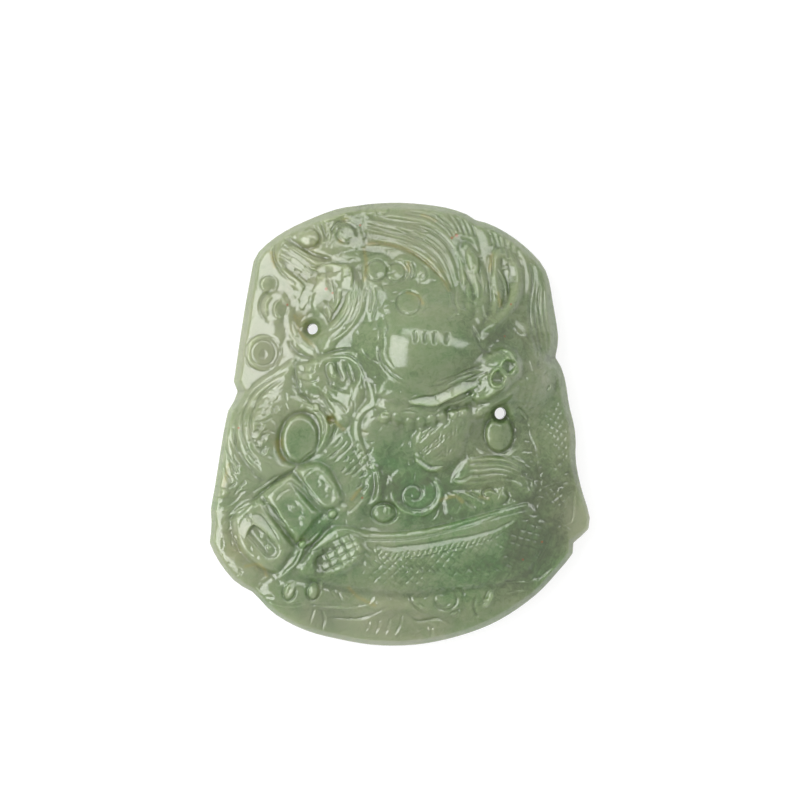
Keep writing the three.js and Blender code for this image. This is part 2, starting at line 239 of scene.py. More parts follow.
def footprint_edges(name):
    """The border of a CAD node's flat underside, as segments in plan coordinates."""
    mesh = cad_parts[name].data
    points = np.empty(len(mesh.vertices) * 3)
    mesh.vertices.foreach_get("co", points)
    points = points.reshape(-1, 3) / MM
    bottom = points[:, 2].min() + 0.01
    keys = [tuple(np.round(p[:2] - SHIFT, 3)) for p in points]
    edges = set()
    for polygon in mesh.polygons:
        corners = list(polygon.vertices)
        if all(points[c][2] < bottom for c in corners):
            for a, b in zip(corners, corners[1:] + corners[:1]):
                edges.add((keys[a], keys[b]))
    return np.array([edge for edge in edges if edge[::-1] not in edges])


def signed_distance(edges, reach):
    """Distance to a closed border, positive inside. Beyond reach it is only known to be outside."""
    view = window(edges.reshape(-1, 2), reach)
    x, y = X[view], Y[view]
    best = np.full(x.shape, np.inf)
    crossings = np.zeros(x.shape, int)
    for (ax, ay), (bx, by) in edges:
        dx, dy = bx - ax, by - ay
        t = np.clip(((x - ax) * dx + (y - ay) * dy) / (dx * dx + dy * dy), 0, 1)
        best = np.minimum(best, np.hypot(x - ax - t * dx, y - ay - t * dy))
        if ay != by:
            spans = (y > min(ay, by)) & (y <= max(ay, by))
            crossings += spans & (x < ax + (y - ay) / dy * dx)
    result = np.full(X.shape, -reach - 1.0)
    result[view] = np.where(crossings % 2 == 1, best, -best)
    return result


def outline_distance():
    """Distance inside the plaque's outline, without the drilled holes."""
    edges = footprint_edges(GROUND)
    middle = edges.mean(axis=1)
    for x, y, radius in HOLES:
        edges = edges[np.hypot(middle[:, 0] - x, middle[:, 1] - y) > 2 * radius]
        middle = edges.mean(axis=1)
    return signed_distance(edges, 60.0) + CAD_ROUND


inside = outline_distance()
hole = np.max([radius - np.hypot(X - x, Y - y) for x, y, radius in HOLES], axis=0)
scores = np.stack([np.full(X.shape, -HALF_GROOVE)]
                  + [signed_distance(footprint_edges(name), 1.5) for name in NODES]).astype(np.float32)
owner = scores.argmax(axis=0)


def owned_by(name):
    """Whether each grid point belongs to an element."""
    return owner == NODES.index(name) + 1


def depth_in(name):
    """Distance inside an element, from the line where it meets its neighbours."""
    return scores[NODES.index(name) + 1] + HALF_GROOVE


# ---- The sculpt ----


# How far a point belongs to the lower left, where the rim is higher: 1 there, 0 elsewhere.
lower_left = blur(np.clip((4 - Y) / 4, 0, 1) * np.clip((-8 - X) / 5, 0, 1), 0.8)


def dome():
    """The smooth stone before carving: it rises from the rim to the middle, and most of all to the head."""
    rise = blur(1 - np.clip(1 - inside / DOME_REACH, 0, 1) ** 2, 1.6)
    head = blur(smooth(np.clip(1 - np.hypot(X - HEAD[0], Y - HEAD[1]) / HEAD[2], 0, 1)), 0.8)
    return RIM_HEIGHT + DOME_RISE * rise + LEFT_SHOULDER * lower_left * (1 - rise) + HEAD_RISE * head


# How deep the ground lies under the dome, as x, y, depth.
GROUND_DEPTH = [
    (-18, 12, 0.1), (-20, 8, 0.1), (-17, 19.5, 0.2), (-12, 24, 0.3), (0, 27, 0.3), (14, 22, 0.4),
    (18.5, 20, 0.3), (1, 17, 0.9), (-2, 19, 0.8), (3.5, 16, 0.9), (-4.5, 13, 0.7), (-10, 15.5, 0.8),
    (-11.2, 12.6, 1.7), (-11.8, 17, 0.5), (-5, 9.2, 0.9), (-3, 4.5, 0.8), (-9, 9.5, 0.7), (14.5, 10, -0.9),
    (16.6, 6.8, -0.7), (20.5, 5, 0.4), (21.5, -3, 0.4), (9.9, -1, 1.2), (14.2, -1.5, 1.2), (12, 2.6, 0.3),
    (1.5, -8.5, 3.0), (-1.5, -5, 2.3), (6, -8, 2.4), (10, -9, 1.8), (14, -9, 1.2), (-3, -11, 2.5),
    (-7, -11.5, 1.2), (0, -25, 0.3), (-14, -22, 0.4), (12, -23, 0.4), (-22.5, -5, 0.2), (-20.5, -12.5, 0.4),
    (19.5, -15, 0.4), (22, -12, 1.1), (-12.8, -1.7, 1.6),
]

# Each element's height over the ground, and how wide its rounded border is.
PROFILE = {
    "band_plate_1": (1.2, 0.8), "band_plate_2": (1.2, 0.8), "band_plate_3": (1.1, 0.8),
    "beaded_cord": (0.5, 0.7), "bottom_waves": (0.5, 1.0), "brow_dome": (0.3, 3.0),
    "cheek_tuft": (0.7, 1.4), "claw": (0.9, 1.8), "cloud_curl": (0.5, 1.0), "cloud_knob": (0.5, 1.3),
    "cloud_swirl": (0.6, 1.6), "corner_cloud_lower": (0.6, 1.4), "corner_cloud_upper": (0.5, 0.9),
    "corner_curl": (0.4, 0.7), "ear": (1.2, 1.6), "feather_fan": (0.3, 2.0), "horn": (0.8, 1.1),
    "left_coil": (1.5, 2.4), "left_fringe": (0.4, 1.0), "left_pearl": (0.7, 2.3),
    "left_tendril": (0.4, 0.6), "lip_fold": (1.0, 1.1), "long_whisker": (0.45, 0.8),
    "lower_body": (2.2, 4.6), "mane_left": (0.5, 1.4), "mane_right": (0.4, 1.8), "mane_top": (0.7, 2.4),
    "rim_cloud": (0.3, 1.0), "rim_knob": (0.3, 0.9), "rim_pearl": (0.3, 0.9), "right_coil": (0.8, 3.2),
    "right_pearl": (1.1, 1.9), "round_disc": (0.3, 0.4), "side_tab": (0.2, 1.0), "small_knob": (0.3, 0.6),
    "snout": (1.7, 2.2), "tail_tuft": (0.4, 1.2), "temple_band": (0.3, 0.9), "tongue": (1.2, 2.0),
    "top_left_cloud": (0.5, 1.6), "upper_loop": (0.8, 1.4), "upper_teeth": (0.9, 1.3),
    "wave_fin": (1.1, 2.0),
}
PEARL_PROFILE = (0.35, 0.8)  # the discs in the crown recess


def carve_layers():
    """The rough carving: the ground, and each element bulging out of it with a rounded border."""
    H[:] = dome() - GROUND_DEPTH_SHARE * shepard(GROUND_DEPTH)
    for index, name in enumerate(NODES, 1):
        height, width = PROFILE.get(name, PEARL_PROFILE)
        mine = owner == index
        u = np.clip(depth_in(name)[mine] / (BORDER_SPREAD * width), 0, 1)
        bulge = RELIEF * height * np.sqrt(1 - (1 - u) ** 2)
        if name == "lower_body":  # its right end sinks into its surroundings
            bulge *= 1 - 0.75 * np.clip((X[mine] - 8) / 8, 0, 1)
        H[mine] += bulge
    worn = np.clip(1 - inside / WORN_RIM, 0, 1)
    H[:] += worn * (blur(H, 1.0) - H)


def raise_muzzle():
    """The cheek under the right side of the head, and the snout, which climbs to the right."""
    boss(14.2, 5.8, 5.2, 5.4, 2.0, power=1.3)
    share = np.clip(depth_in("snout") / 2.4, 0, 1) ** 0.8
    climb = 1.7 * np.clip((X - 1) / 10.5, 0, 1)
    H[:] += share * (climb - 1.0)


def brow_cap():
    """The polished brow, a smooth cap that grows out of the head without a crease, steeper on its left."""
    x, y = BROW_CENTRE
    fall_sideways = np.where(X > x, 0.05, 0.068)
    cap = BROW_TOP - fall_sideways * (X - x) ** 2 - 0.09 * (Y - y) ** 2
    H[:] = soft_higher(H, cap, BROW_SOFTNESS)


# Broad facets of the carving, as x, y, half length, half width, turn in degrees, rise to the right and
# rise upwards.
FACETS = [
    (-12.4, 19.7, 3.6, 1.7, -38, 0.34, 0.0), (-8.6, 19.3, 2.4, 0.8, 8, 0.34, 0.0),
    (-6.9, 17.2, 2.6, 0.8, 80, 0.34, 0.05), (-8.0, 14.3, 1.8, 0.7, 50, 0.34, 0.0),
    (10.0, 4.5, 2.3, 1.5, 20, 0.37, 0.0), (-7.8, -16.4, 3.3, 2.0, 27, 0.34, 0.0),
    (-12.75, -1.7, 3.1, 2.3, 100, 0.0, 0.0), (-8.8, 6.2, 3.4, 2.6, 0, 0.08, 0.0),
    (-17.6, 13.2, 2.4, 0.7, 20, 0.34, 0.0), (-14.3, 9.9, 1.6, 0.9, 60, 0.34, 0.0),
    (-22.6, -8.5, 0.9, 0.6, 0, 0.34, 0.0), (10.95, -21.7, 1.1, 0.5, 65, 0.34, 0.0),
    (-10.3, -7.9, 2.6, 2.0, -50, 0.08, 0.05), (-13.4, -11.3, 2.8, 2.2, -50, 0.08, 0.05),
    (-17.4, -14.3, 3.6, 2.9, -50, 0.08, 0.05), (-21.6, -13.5, 3.0, 1.2, 100, 0.12, 0.05),
    (-22.2, -10.9, 1.6, 1.6, 0, 0.12, 0.0), (-16.2, -19.7, 2.2, 1.3, -35, 0.12, 0.0),
    (-9.7, 16.0, 2.4, 1.3, 65, 0.0, 0.05),
]


def facets():
    """Turns parts of the surface towards or away from one side, each about its own centre."""
    for x, y, half_length, half_width, turn, rise_x, rise_y in FACETS:
        u, v = turned(x, y, turn)
        distance = np.hypot(u / half_length, v / half_width)
        share = smooth(np.clip((1.15 - distance) / 0.45, 0, 1))
        here = blur(H, 0.5)
        plane = here[cell(x, y)] + rise_x * (X - x) + rise_y * (Y - y)
        H[:] += share * (plane - here)


def groove(path, width, depth, taper):
    """Cuts a groove along a path, or raises a ridge where depth is negative. Taper is the share of the
    path's length over which each end fades out.
    """
    view, distance, place, _, length = near(path, 2.5 * width)
    ends = 1.0
    if taper > 0:
        ends = np.clip(np.minimum(place, length - place) / (taper * length), 0, 1) ** 0.5
    H[view] -= CUT * depth * ends * np.exp(-(distance / width) ** 2)


def stroke(points, width, depth, taper=0.35):
    """Cuts a groove along a smooth curve."""
    groove(curve(points), width, depth, taper)


def strokes(width, depth, *paths):
    for points in paths:
        stroke(points, width, depth)


def lit_tilt(climb, along_x, along_y):
    """The slope across a line, to its left, that best mirrors either light, given the line's own climb."""
    best = np.full(climb.shape, -np.inf)
    tilt = np.zeros(climb.shape)
    for slope in np.linspace(-0.8, 0.8, 81):
        rise_x, rise_y = climb * along_x - slope * along_y, climb * along_y + slope * along_x
        key_miss = np.hypot((rise_x - KEY_SLOPE) / KEY_REACH[0], rise_y / KEY_REACH[1])
        strip_line = -STRIP_SLOPE - STRIP_TURN * rise_x
        strip_miss = np.hypot((rise_x - STRIP_MIDDLE) / STRIP_REACH[0],
                              (rise_y - strip_line) / STRIP_REACH[1])
        score = 1 - np.minimum(key_miss, strip_miss) ** 2 - FLAT_PREFERENCE * abs(slope)
        tilt = np.where(score > best, slope, tilt)
        best = np.maximum(score, best)
    return tilt


def glint(points, width, end_width=None):
    """Cuts a narrow facet along a curve, tilted so that it mirrors the key light or the strip light.

    Its ends are narrower than its middle. Where end_width is given, it goes from width to end_width.
    """
    path = curve(points)
    run = np.append(0, np.cumsum(np.hypot(*np.diff(path, axis=0).T)))
    level = np.pad(H[cell(path[:, 0], path[:, 1])], 4, mode="edge")
    level = np.convolve(level, np.ones(9) / 9, mode="valid")
    tilt = lit_tilt(np.gradient(level, run), np.gradient(path[:, 0], run), np.gradient(path[:, 1], run))
    view, distance, place, offset, length = near(path, width + 0.3)
    width_here = width + (0 if end_width is None else end_width - width) * place / length
    from_end = np.minimum(place, length - place) / length
    half = 0.6 * width_here * np.clip(0.5 + 2.5 * from_end, 0, 1)
    share = np.clip((half - distance) / FACET_EDGE + 0.8, 0, 1)
    plane = np.interp(place, run, level) + np.interp(place, run, tilt) * offset
    H[view] += share * (plane - H[view])


def glints(width, *paths):
    for points in paths:
        glint(points, width)


def flatten(x, y, radius, edge=0.25):
    """Levels a disc at the height of its centre."""
    inner = np.clip((radius - np.hypot(X - x, Y - y)) / edge, 0, 1)
    H[:] += inner * (H[cell(x, y)] - H)


def lozenge(start, end, radius, dish, ridge, mound):
    """A long dish with round ends, a raised border round it and a low mound along its middle."""
    view, distance, _, _, _ = near(np.array([start, end], float), 2.4 * radius)
    H[view] -= dish * np.clip(1 - (distance / radius) ** 2, 0, 1) ** 0.6
    H[view] += mound * np.exp(-(distance / (0.4 * radius)) ** 2)
    H[view] += ridge * np.exp(-((distance - 1.35 * radius) / (0.42 * radius)) ** 2)


def hair(first, last, count, width, depth, taper=0.15):
    """Grooves that run between two guide curves, evenly spread and slightly uneven in depth."""
    a, b = curve(first), curve(last)
    shares = np.linspace(0, 1, 14)
    for i in range(count):
        mix = (i + 0.5) / count
        path = [along(a, s) * (1 - mix) + along(b, s) * mix for s in shares]
        stroke(path, width, depth * (0.75 + 0.5 * scatter(i)), taper)


def boss(x, y, radius_x, radius_y, height, turn=0.0, power=0.5):
    """Raises an elliptical boss, or sinks a dish where height is negative."""
    u, v = turned(x, y, turn)
    H[:] += height * np.clip(1 - (u / radius_x) ** 2 - (v / radius_y) ** 2, 0, 1) ** power


def ring(x, y, radius_x, radius_y, width, depth, turn=0.0, start=0, end=360):
    """Cuts an elliptical groove, or raises a ring where depth is negative, from start to end in degrees."""
    angles = np.radians(np.linspace(start, end, 40))
    tilt = math.radians(turn)
    u, v = radius_x * np.cos(angles), radius_y * np.sin(angles)
    across = x + u * math.cos(tilt) - v * math.sin(tilt)
    upwards = y + u * math.sin(tilt) + v * math.cos(tilt)
    groove(np.stack([across, upwards], 1), width, depth, 0 if end - start >= 360 else 0.2)


def spiral(x, y, inner, outer, turns, start, width, depth):
    """Cuts a spiral groove outwards from inner to outer radius, from a start angle in degrees."""
    t = np.linspace(0, 1, int(30 * turns))
    angle = math.radians(start) + t * turns * 2 * math.pi
    radius = inner + (outer - inner) * t
    groove(np.stack([x + radius * np.cos(angle), y + radius * np.sin(angle)], 1), width, depth, 0.15)


def scales(points, reach, pitch, depth, where):
    """Engraves a net of scales along a curve, each slightly crowned."""
    view, distance, place, offset, _ = near(curve(points), reach)
    net = np.zeros(distance.shape)
    crown = np.ones(distance.shape)
    for sign in (1, -1):
        phase = (place + sign * offset) / pitch
        gap = np.abs(phase - np.round(phase)) * pitch
        net = np.maximum(net, np.exp(-(gap / 0.13) ** 2))
        crown *= np.cos(np.pi * (phase - np.floor(phase) - 0.5))
    fade = np.clip((reach - distance) / 0.6, 0, 1) * where[view]
    H[view] -= fade * depth * (net - 0.6 * crown)


def lattice(corner, direction, length, width, depth):
    """Two crossed families of straight grooves over an oblong patch, with flat cells between them."""
    dx, dy = direction
    u = (X - corner[0]) * dx + (Y - corner[1]) * dy
    v = (Y - corner[1]) * dx - (X - corner[0]) * dy
    fade = np.clip(np.minimum.reduce([u, length - u, v + 0.4 * width, 0.6 * width - v]) / 0.4, 0, 1)
    for place, pitch in ((u, 1.25), (v, 0.95)):
        gap = (place / pitch - np.round(place / pitch)) * pitch
        H[:] -= fade * depth * np.exp(-(gap / 0.12) ** 2)


def carve_mane():
    inner = [(-4.5, 23.6), (-1.5, 22.9), (1.5, 22.0), (3.6, 20.7), (5.0, 18.8), (6.0, 16.6), (6.5, 14.8)]
    outer = [(-4.6, 26.4), (-1, 25.9), (2.5, 25.2), (5.2, 23.8), (6.9, 21.4), (7.4, 18.8), (7.9, 16),
             (8.2, 14)]
    hair(inner, outer, 8, 0.22, 0.36)
    hair([(-4.4, 24.6), (-2, 24), (0.5, 23.3), (2.6, 22.4)],
         [(-4, 26), (-1.6, 25.4), (1, 24.9), (3.4, 24.2)], 4, 0.12, 0.2)
    hair([(0.3, 26.3), (3, 25.8), (5, 24.5), (6.2, 23.1)], [(1, 27.4), (4, 26.8), (6, 25.4), (7, 24)], 3,
         0.18, 0.26)
    hair([(4.9, 27.2), (6.2, 25.6), (7, 24)], [(8.7, 26.1), (9.3, 24.8), (9.6, 23.4)], 4, 0.2, 0.3)
    ring(-2.4, 27, 0.8, 0.75, 0.16, 0.25)
    hair([(10, 25.4), (10.8, 24), (11, 22.8)], [(15.2, 22.6), (14.9, 21), (15.3, 19.4)], 6, 0.24, 0.3)
    hair([(15.7, 21.4), (16.2, 18), (15.7, 14.5), (15.9, 12), (16.6, 9.6), (17.3, 7.8)],
         [(17.6, 20.6), (18.5, 17.5), (18.8, 14.5), (19.3, 11), (19, 9), (18.4, 7.8)], 5, 0.26, 0.3)
    strokes(0.15, 0.22, [(16.1, 20.2), (16.5, 18.4), (16.2, 16)], [(17.3, 17.4), (17.1, 15.2), (17.5, 13)],
            [(18.4, 17), (18.6, 14), (18.5, 11.8)])


def carve_left_tuft():
    boss(-5.4, 17.2, 6.2, 4.6, 1.0, power=1.2)
    hair([(-15.6, 19.8), (-13.6, 18.6), (-12.2, 17.2), (-11.4, 16.2)],
         [(-15, 22.8), (-13, 21.6), (-11, 20.2), (-9.6, 19.7)], 5, 0.26, 0.5)
    hair([(-14.8, 22.7), (-12.8, 21.8), (-10.8, 20.7), (-8.8, 20.3)],
         [(-14.9, 24.2), (-13.2, 22.9), (-11, 21.6), (-8.8, 20.9)], 3, 0.2, 0.35)
    strokes(0.22, 0.4, [(-15.8, 23.6), (-16.1, 22), (-15.8, 20.4), (-14.8, 18.8), (-13.2, 17.6)],
            [(-10.9, 19.6), (-9, 20), (-7, 20.1), (-5.8, 19.5)])
    hair([(-4.9, 20.2), (-4.8, 17.4), (-5, 15.2), (-5.8, 13.2), (-7.2, 11.6), (-8.8, 10.4)],
         [(-6.6, 19), (-6.4, 17.4), (-6.6, 15.4), (-7.1, 13.8), (-8.2, 12.4), (-9.4, 11.4)], 5, 0.15, 0.28)
    for i in range(9):
        x, y = along(curve([(-6.9, 17), (-7.3, 15.6), (-7.9, 14.4), (-8.7, 13.1)]), i / 8)
        stroke([(x - 0.5, y - 0.45), (x + 0.5, y + 0.3)], 0.13, 0.3)
    glints(0.3, [(-6.7, 20.3), (-5.9, 20.7), (-5.2, 20.8)], [(-13.6, 16.1), (-12.9, 15.6), (-12.2, 15)])
    strokes(0.14, 0.25, [(-9.4, 18.8), (-9.1, 17.6), (-8.6, 16.6)],
            [(-8.5, 17.6), (-8.2, 16.2), (-8.4, 15.2)], [(-10, 14.4), (-9.3, 13.4), (-9, 12.4)],
            [(-9.3, 15.2), (-8.7, 14.2), (-8.4, 13)])


def carve_crown():
    stroke([(-4.3, 22.6), (-2.5, 22.7), (-0.3, 22.2), (1.7, 21.3), (3.6, 19.8), (5.2, 18), (6, 16.2),
            (6.6, 14.4)], 0.2, 0.3)
    ring(-3.1, 19.2, 1.35, 1.3, 0.15, 0.28)
    ring(-0.7, 19.0, 1.2, 1.2, 0.14, 0.25)
    for i in range(3):
        ring(-0.1 + 0.45 * i, 19.2, 0.9, 1.2, 0.12, 0.28, start=-70, end=70)
    glints(0.2, [(-1.8, 20.4), (-1.5, 19.4), (-1.8, 18.3)], [(-3.6, 20.7), (-2.6, 20.9), (-1.7, 20.6)],
           [(2.8, 19.8), (3, 19), (2.6, 18.3)])
    ring(2.3, 18.9, 0.9, 1.0, 0.13, 0.25, start=-80, end=80)
    ring(0.9, 15.1, 1.5, 1.45, 0.15, 0.3)
    glints(0.22, [(2.2, 16), (2.6, 15.3), (2.4, 14.4)], [(2.8, 15.6), (3.1, 14.8), (2.7, 14)])
    strokes(0.15, 0.25, [(-3.2, 17.4), (-3, 15.8), (-3.3, 14.2), (-3.6, 12.8)],
            [(-3.9, 17.2), (-3.7, 15.6), (-4, 14)], [(-2.2, 13.2), (-1.7, 12.2), (-1.9, 11)])


def carve_locks():
    boss(8.9, 20.4, 0.8, 1.7, 0.3, turn=18)
    strokes(0.2, 0.35, [(7.8, 19.4), (8.6, 17.8), (9, 16.4), (9, 15.4)],
            [(9.9, 21), (9.7, 19), (9.9, 17), (9.7, 15.4)], [(8.2, 18.4), (7.9, 16.8), (8.2, 15.2)])
    glints(0.24, [(8.3, 18.9), (9, 17.4), (9.4, 15.8)], [(9.4, 19), (9.7, 17.8)],
           [(10.6, 17.8), (10.4, 16.2)])


def carve_ear():
    deep = np.clip((depth_in("ear") - 0.8) / 0.9, 0, 1)
    H[:] -= 0.7 * deep * np.clip((Y - 13) / 2, 0, 1)
    strokes(0.18, 0.35, [(11.3, 21.4), (11.4, 20), (11.3, 18.5)],
            [(12.6, 19.4), (13.3, 17.6), (13.3, 16), (12.8, 14.4)])
    glints(0.27, [(11.2, 17.4), (11.9, 16.1), (12.2, 15.2), (11.9, 14)])
    strokes(0.8, -0.45, [(14.2, 17.8), (14.2, 16.2), (13.4, 14), (11.6, 12.2), (9.8, 10.3)])


def carve_head():
    whisker = [(-4.1, 5), (-3.75, 4), (-3.5, 3), (-3.7, 2.4), (-4.6, 1.9), (-5.3, 1.2), (-5.6, 0.4),
               (-5.7, -0.6), (-5.5, -1.8), (-5, -3), (-4.5, -4.2), (-4.2, -5)]
    stroke(whisker, 0.6, -0.2)
    glint(whisker, 0.45)
    boss(11.0, 4.6, 2.6, 1.7, 0.5, turn=25)
    strokes(0.24, 0.3, [(1.5, 11.6), (1.7, 10.9), (1.6, 10)], [(2.8, 11.5), (2.9, 10.9), (2.8, 10)],
            [(4, 11.5), (4.1, 10.8), (4, 9.9)], [(5.5, 11.4), (5.6, 10.7), (5.4, 9.9)])
    strokes(0.2, 0.3, [(-2.9, 9.8), (-2.5, 7.9), (-1.3, 6.4), (0.9, 4.8)],
            [(8.6, 12.4), (9.2, 11), (10, 9.4), (11.6, 8.6)])
    strokes(0.12, 0.14, [(-2.1, 12), (-1.8, 10), (-1.9, 8.6), (-1, 7)],
            [(-3.1, 12.6), (-2.7, 11.4), (-2.8, 10.4)])
    strokes(0.13, 0.3, [(3.2, 4.7), (5.3, 5), (7.2, 5.9), (9.2, 6.5)],
            [(4.2, 5.3), (6.2, 5.9), (8.2, 6.8), (10, 7.3)],
            [(5.6, 4.7), (7.4, 5.3), (9.2, 6.1), (10.6, 6.6)])
    strokes(0.5, -0.45, [(1.2, 2.8), (2.6, 3.1), (4, 2.9), (5.5, 3.7), (7.2, 4.6), (9, 5.1), (10.4, 5.7)])
    strokes(0.22, 0.4, [(5.1, 3.1), (6.5, 3.7), (8.4, 4.3)])
    strokes(0.25, 0.4, [(4, 1.1), (5.6, 1.8), (7.4, 2.2), (8.8, 2.7)])
    for x, y, turn in [(11.9, 5.8, 65), (13.15, 7.2, 60)]:
        boss(x, y, 1.05, 0.85, -0.6, turn=turn, power=0.8)
        ring(x, y, 1.2, 0.95, 0.16, -0.3, turn=turn)
    boss(13.4, 8.6, 1.0, 0.7, 0.4, turn=-50)
    strokes(1.0, -0.7, [(8.8, 0.2), (11, 2.6), (13.3, 4.1), (15.3, 5.7)])
    boss(-2.1, 0.9, 0.9, 0.7, 0.5, turn=30)
    for x, y in [(-0.7, 0.2), (0.9, -0.4), (2.3, -0.35), (3.7, 0.0), (5.0, 0.6), (6.4, 1.1), (7.6, 1.5)]:
        boss(x, y + 0.4, 0.62, 0.85, 0.28)
    strokes(0.14, 0.2, [(-0.2, 1.6), (1.2, 1.7), (2.4, 1.3)], [(0.5, 2.1), (2, 2.3), (3, 1.9)])


def carve_tongue():
    strokes(0.3, 0.2, [(1.9, -2.4), (2.6, -3.9), (3.8, -4.7)])
    inner = depth_in("tongue")
    for i in range(90):
        x = 2.0 + 6.4 * scatter(i)
        y = -4.4 + 6.0 * scatter(i, 0.414)
        if inner[cell(x - CELL / 2, y - CELL / 2)] > 0.5:  # at the grid point to its lower left
            lean = 0.35 + 0.5 * scatter(i, 0.73) - 0.12 * (x - 4)
            stroke([(x, y), (x + 0.5 * lean, y + 0.4), (x + lean, y + 0.7)], 0.09, 0.16)


def carve_upper_left():
    disc_x, disc_y = DISC_CENTRE
    flatten(disc_x, disc_y, 2.3)
    ring(disc_x, disc_y, 1.5, 1.55, 0.12, 0.12)
    boss(disc_x, disc_y - 0.2, 0.5, 0.6, -0.12)
    ring(disc_x, disc_y, 2.3, 2.35, 0.14, 0.2)
    flatten(-16.7, 17.6, 1.1)
    ring(-16.7, 17.6, 1.1, 1.1, 0.15, 0.15)
    flatten(-15.1, 14.4, 1.0)
    ring(-15.1, 14.4, 0.85, 1.1, 0.16, -0.25, start=90, end=260)
    ring(-15.4, 14.6, 1.7, 1.7, 0.2, -0.25, start=120, end=215)
    ring(-15.5, 14.8, 2.3, 2.2, 0.2, 0.3, start=110, end=230)
    boss(-11.7, 23.5, 1.4, 1.2, 0.5)
    ring(-11.7, 23.4, 1.5, 1.3, 0.2, 0.3, start=-120, end=120)
    glints(0.45, [(-14.6, 24.3), (-14, 23.6)])
    ring(-6.9, 24, 1.25, 1.15, 0.18, 0.3, start=-20, end=290)
    strokes(0.24, 0.35, [(-9.8, 23.2), (-8.8, 24.3), (-8, 25.4), (-6.4, 25.6)],
            [(-10.2, 25.8), (-9.8, 24.4), (-9.4, 23)])
    glints(0.24, [(-9.2, 24.8), (-9, 23.6), (-9.3, 22.4)])
    boss(-8.6, 26.3, 2.0, 0.6, 0.35, turn=18)


def carve_left():
    strokes(0.2, 0.32,
            [(-13.6, 7.2), (-15.8, 6), (-18, 4.5), (-19.2, 2.9), (-19.8, 1), (-19.8, -1.2), (-19, -3.3),
             (-17.6, -5)],
            [(-14.6, 5.8), (-16.4, 4.7), (-17.8, 3.4), (-18.6, 1.6), (-18.8, -0.4), (-18.2, -2.4),
             (-17, -4)])
    glints(0.22, [(-18.2, 0.2), (-17.4, 0.6), (-16.4, 0.7)], [(-18.3, 2.6), (-17, 3.6), (-15.4, 4.3)])
    scale_cells = [(-16.7, 1.6), (-15.6, 1.9), (-17.5, -0.4), (-17, -1.6), (-17.7, -2.3), (-17, -3.3),
                   (-18.1, -1.2)]
    for x, y in scale_cells:
        glint([(x - 0.3, y - 0.25), (x + 0.3, y + 0.25)], 0.75)
    strokes(0.09, 0.15, [(-18.3, 0.3), (-17.2, 0.5), (-16, 1)],
            [(-18.4, -0.8), (-17.2, -0.8), (-16.4, -0.4)], [(-18.4, -1.8), (-17.4, -2), (-16.5, -1.6)],
            [(-18.2, -2.9), (-17.4, -2.8), (-16.6, -2.4)],
            [(-17.9, 1), (-17.4, -0.6), (-17.6, -2.4), (-17.2, -3.8)])
    ring(-12.75, -1.7, 2.5, 3.2, 0.35, 0.3, turn=-12)
    strokes(0.15, 0.28, [(-11, 1.8), (-9.9, 1), (-9.6, -0.5), (-10, -2)],
            [(-10.4, 2.2), (-9.2, 1), (-8.9, -0.5), (-9.4, -2)],
            [(-9.6, 2.2), (-8.5, 0.9), (-8.3, -0.4), (-8.8, -1.8)])
    boss(-10.6, 2.2, 0.4, 0.5, 0.3)
    boss(-8.8, 0.6, 0.6, 0.5, -0.5)


def carve_claw():
    strokes(0.25, 0.3, [(-14.2, 10.5), (-13.4, 9.3), (-12.4, 8.7), (-11, 8.3)])
    glints(0.3, [(-12.8, 7.3), (-11.8, 7.4), (-10.9, 7.3)], [(-12.6, 8.1), (-11.6, 8)])
    strokes(0.15, 0.25, [(-12.9, 6.6), (-11.6, 6.5), (-10.8, 6.7)],
            [(-12.8, 5.6), (-11.4, 5.4), (-10.3, 5.6)], [(-13.3, 7), (-13, 5.4), (-12.6, 4.2)],
            [(-12.2, 7.2), (-12.1, 6.7)], [(-11.2, 7.2), (-11.1, 6.6)])
    strokes(0.34, -0.45, [(-8.9, 7.6), (-8.6, 6.5), (-8, 5.6)])
    glints(0.3, [(-7.6, 8.1), (-7.5, 7), (-7.1, 6)], [(-6.5, 7.6), (-6.2, 6.4), (-5.8, 5.4)],
            [(-11, 3.4), (-10.2, 3.7)], [(-7, 3), (-6.8, 2.6)])
    strokes(0.16, 0.3, [(-9.4, 5.8), (-8.8, 4.8), (-7.6, 4.3), (-6.4, 3.8)],
            [(-9.5, 7.4), (-9.3, 6.2), (-8.6, 5)], [(-8.1, 7.9), (-7.9, 6.8), (-7.2, 5.4)],
            [(-7, 7.9), (-6.8, 6.6), (-6.2, 5.2)], [(-10.6, 4.6), (-9.6, 3.2), (-8.8, 2), (-8.4, 1.4)],
            [(-9, 3.2), (-7.8, 2.6), (-6.8, 1.6)], [(-12.9, 4), (-11.8, 3.4), (-11.2, 2.6)],
            [(-9.9, 8.8), (-8.4, 9.2), (-6.6, 9.4), (-5.2, 9)],
            [(-8.6, 8.6), (-6.8, 8.7), (-5.4, 7.8), (-4.6, 6.6)])
    glints(0.22, [(-6.4, 3.3), (-5.8, 2.2), (-6, 0.8)], [(-5, 9.3), (-4, 8.2), (-2.8, 7.7)])


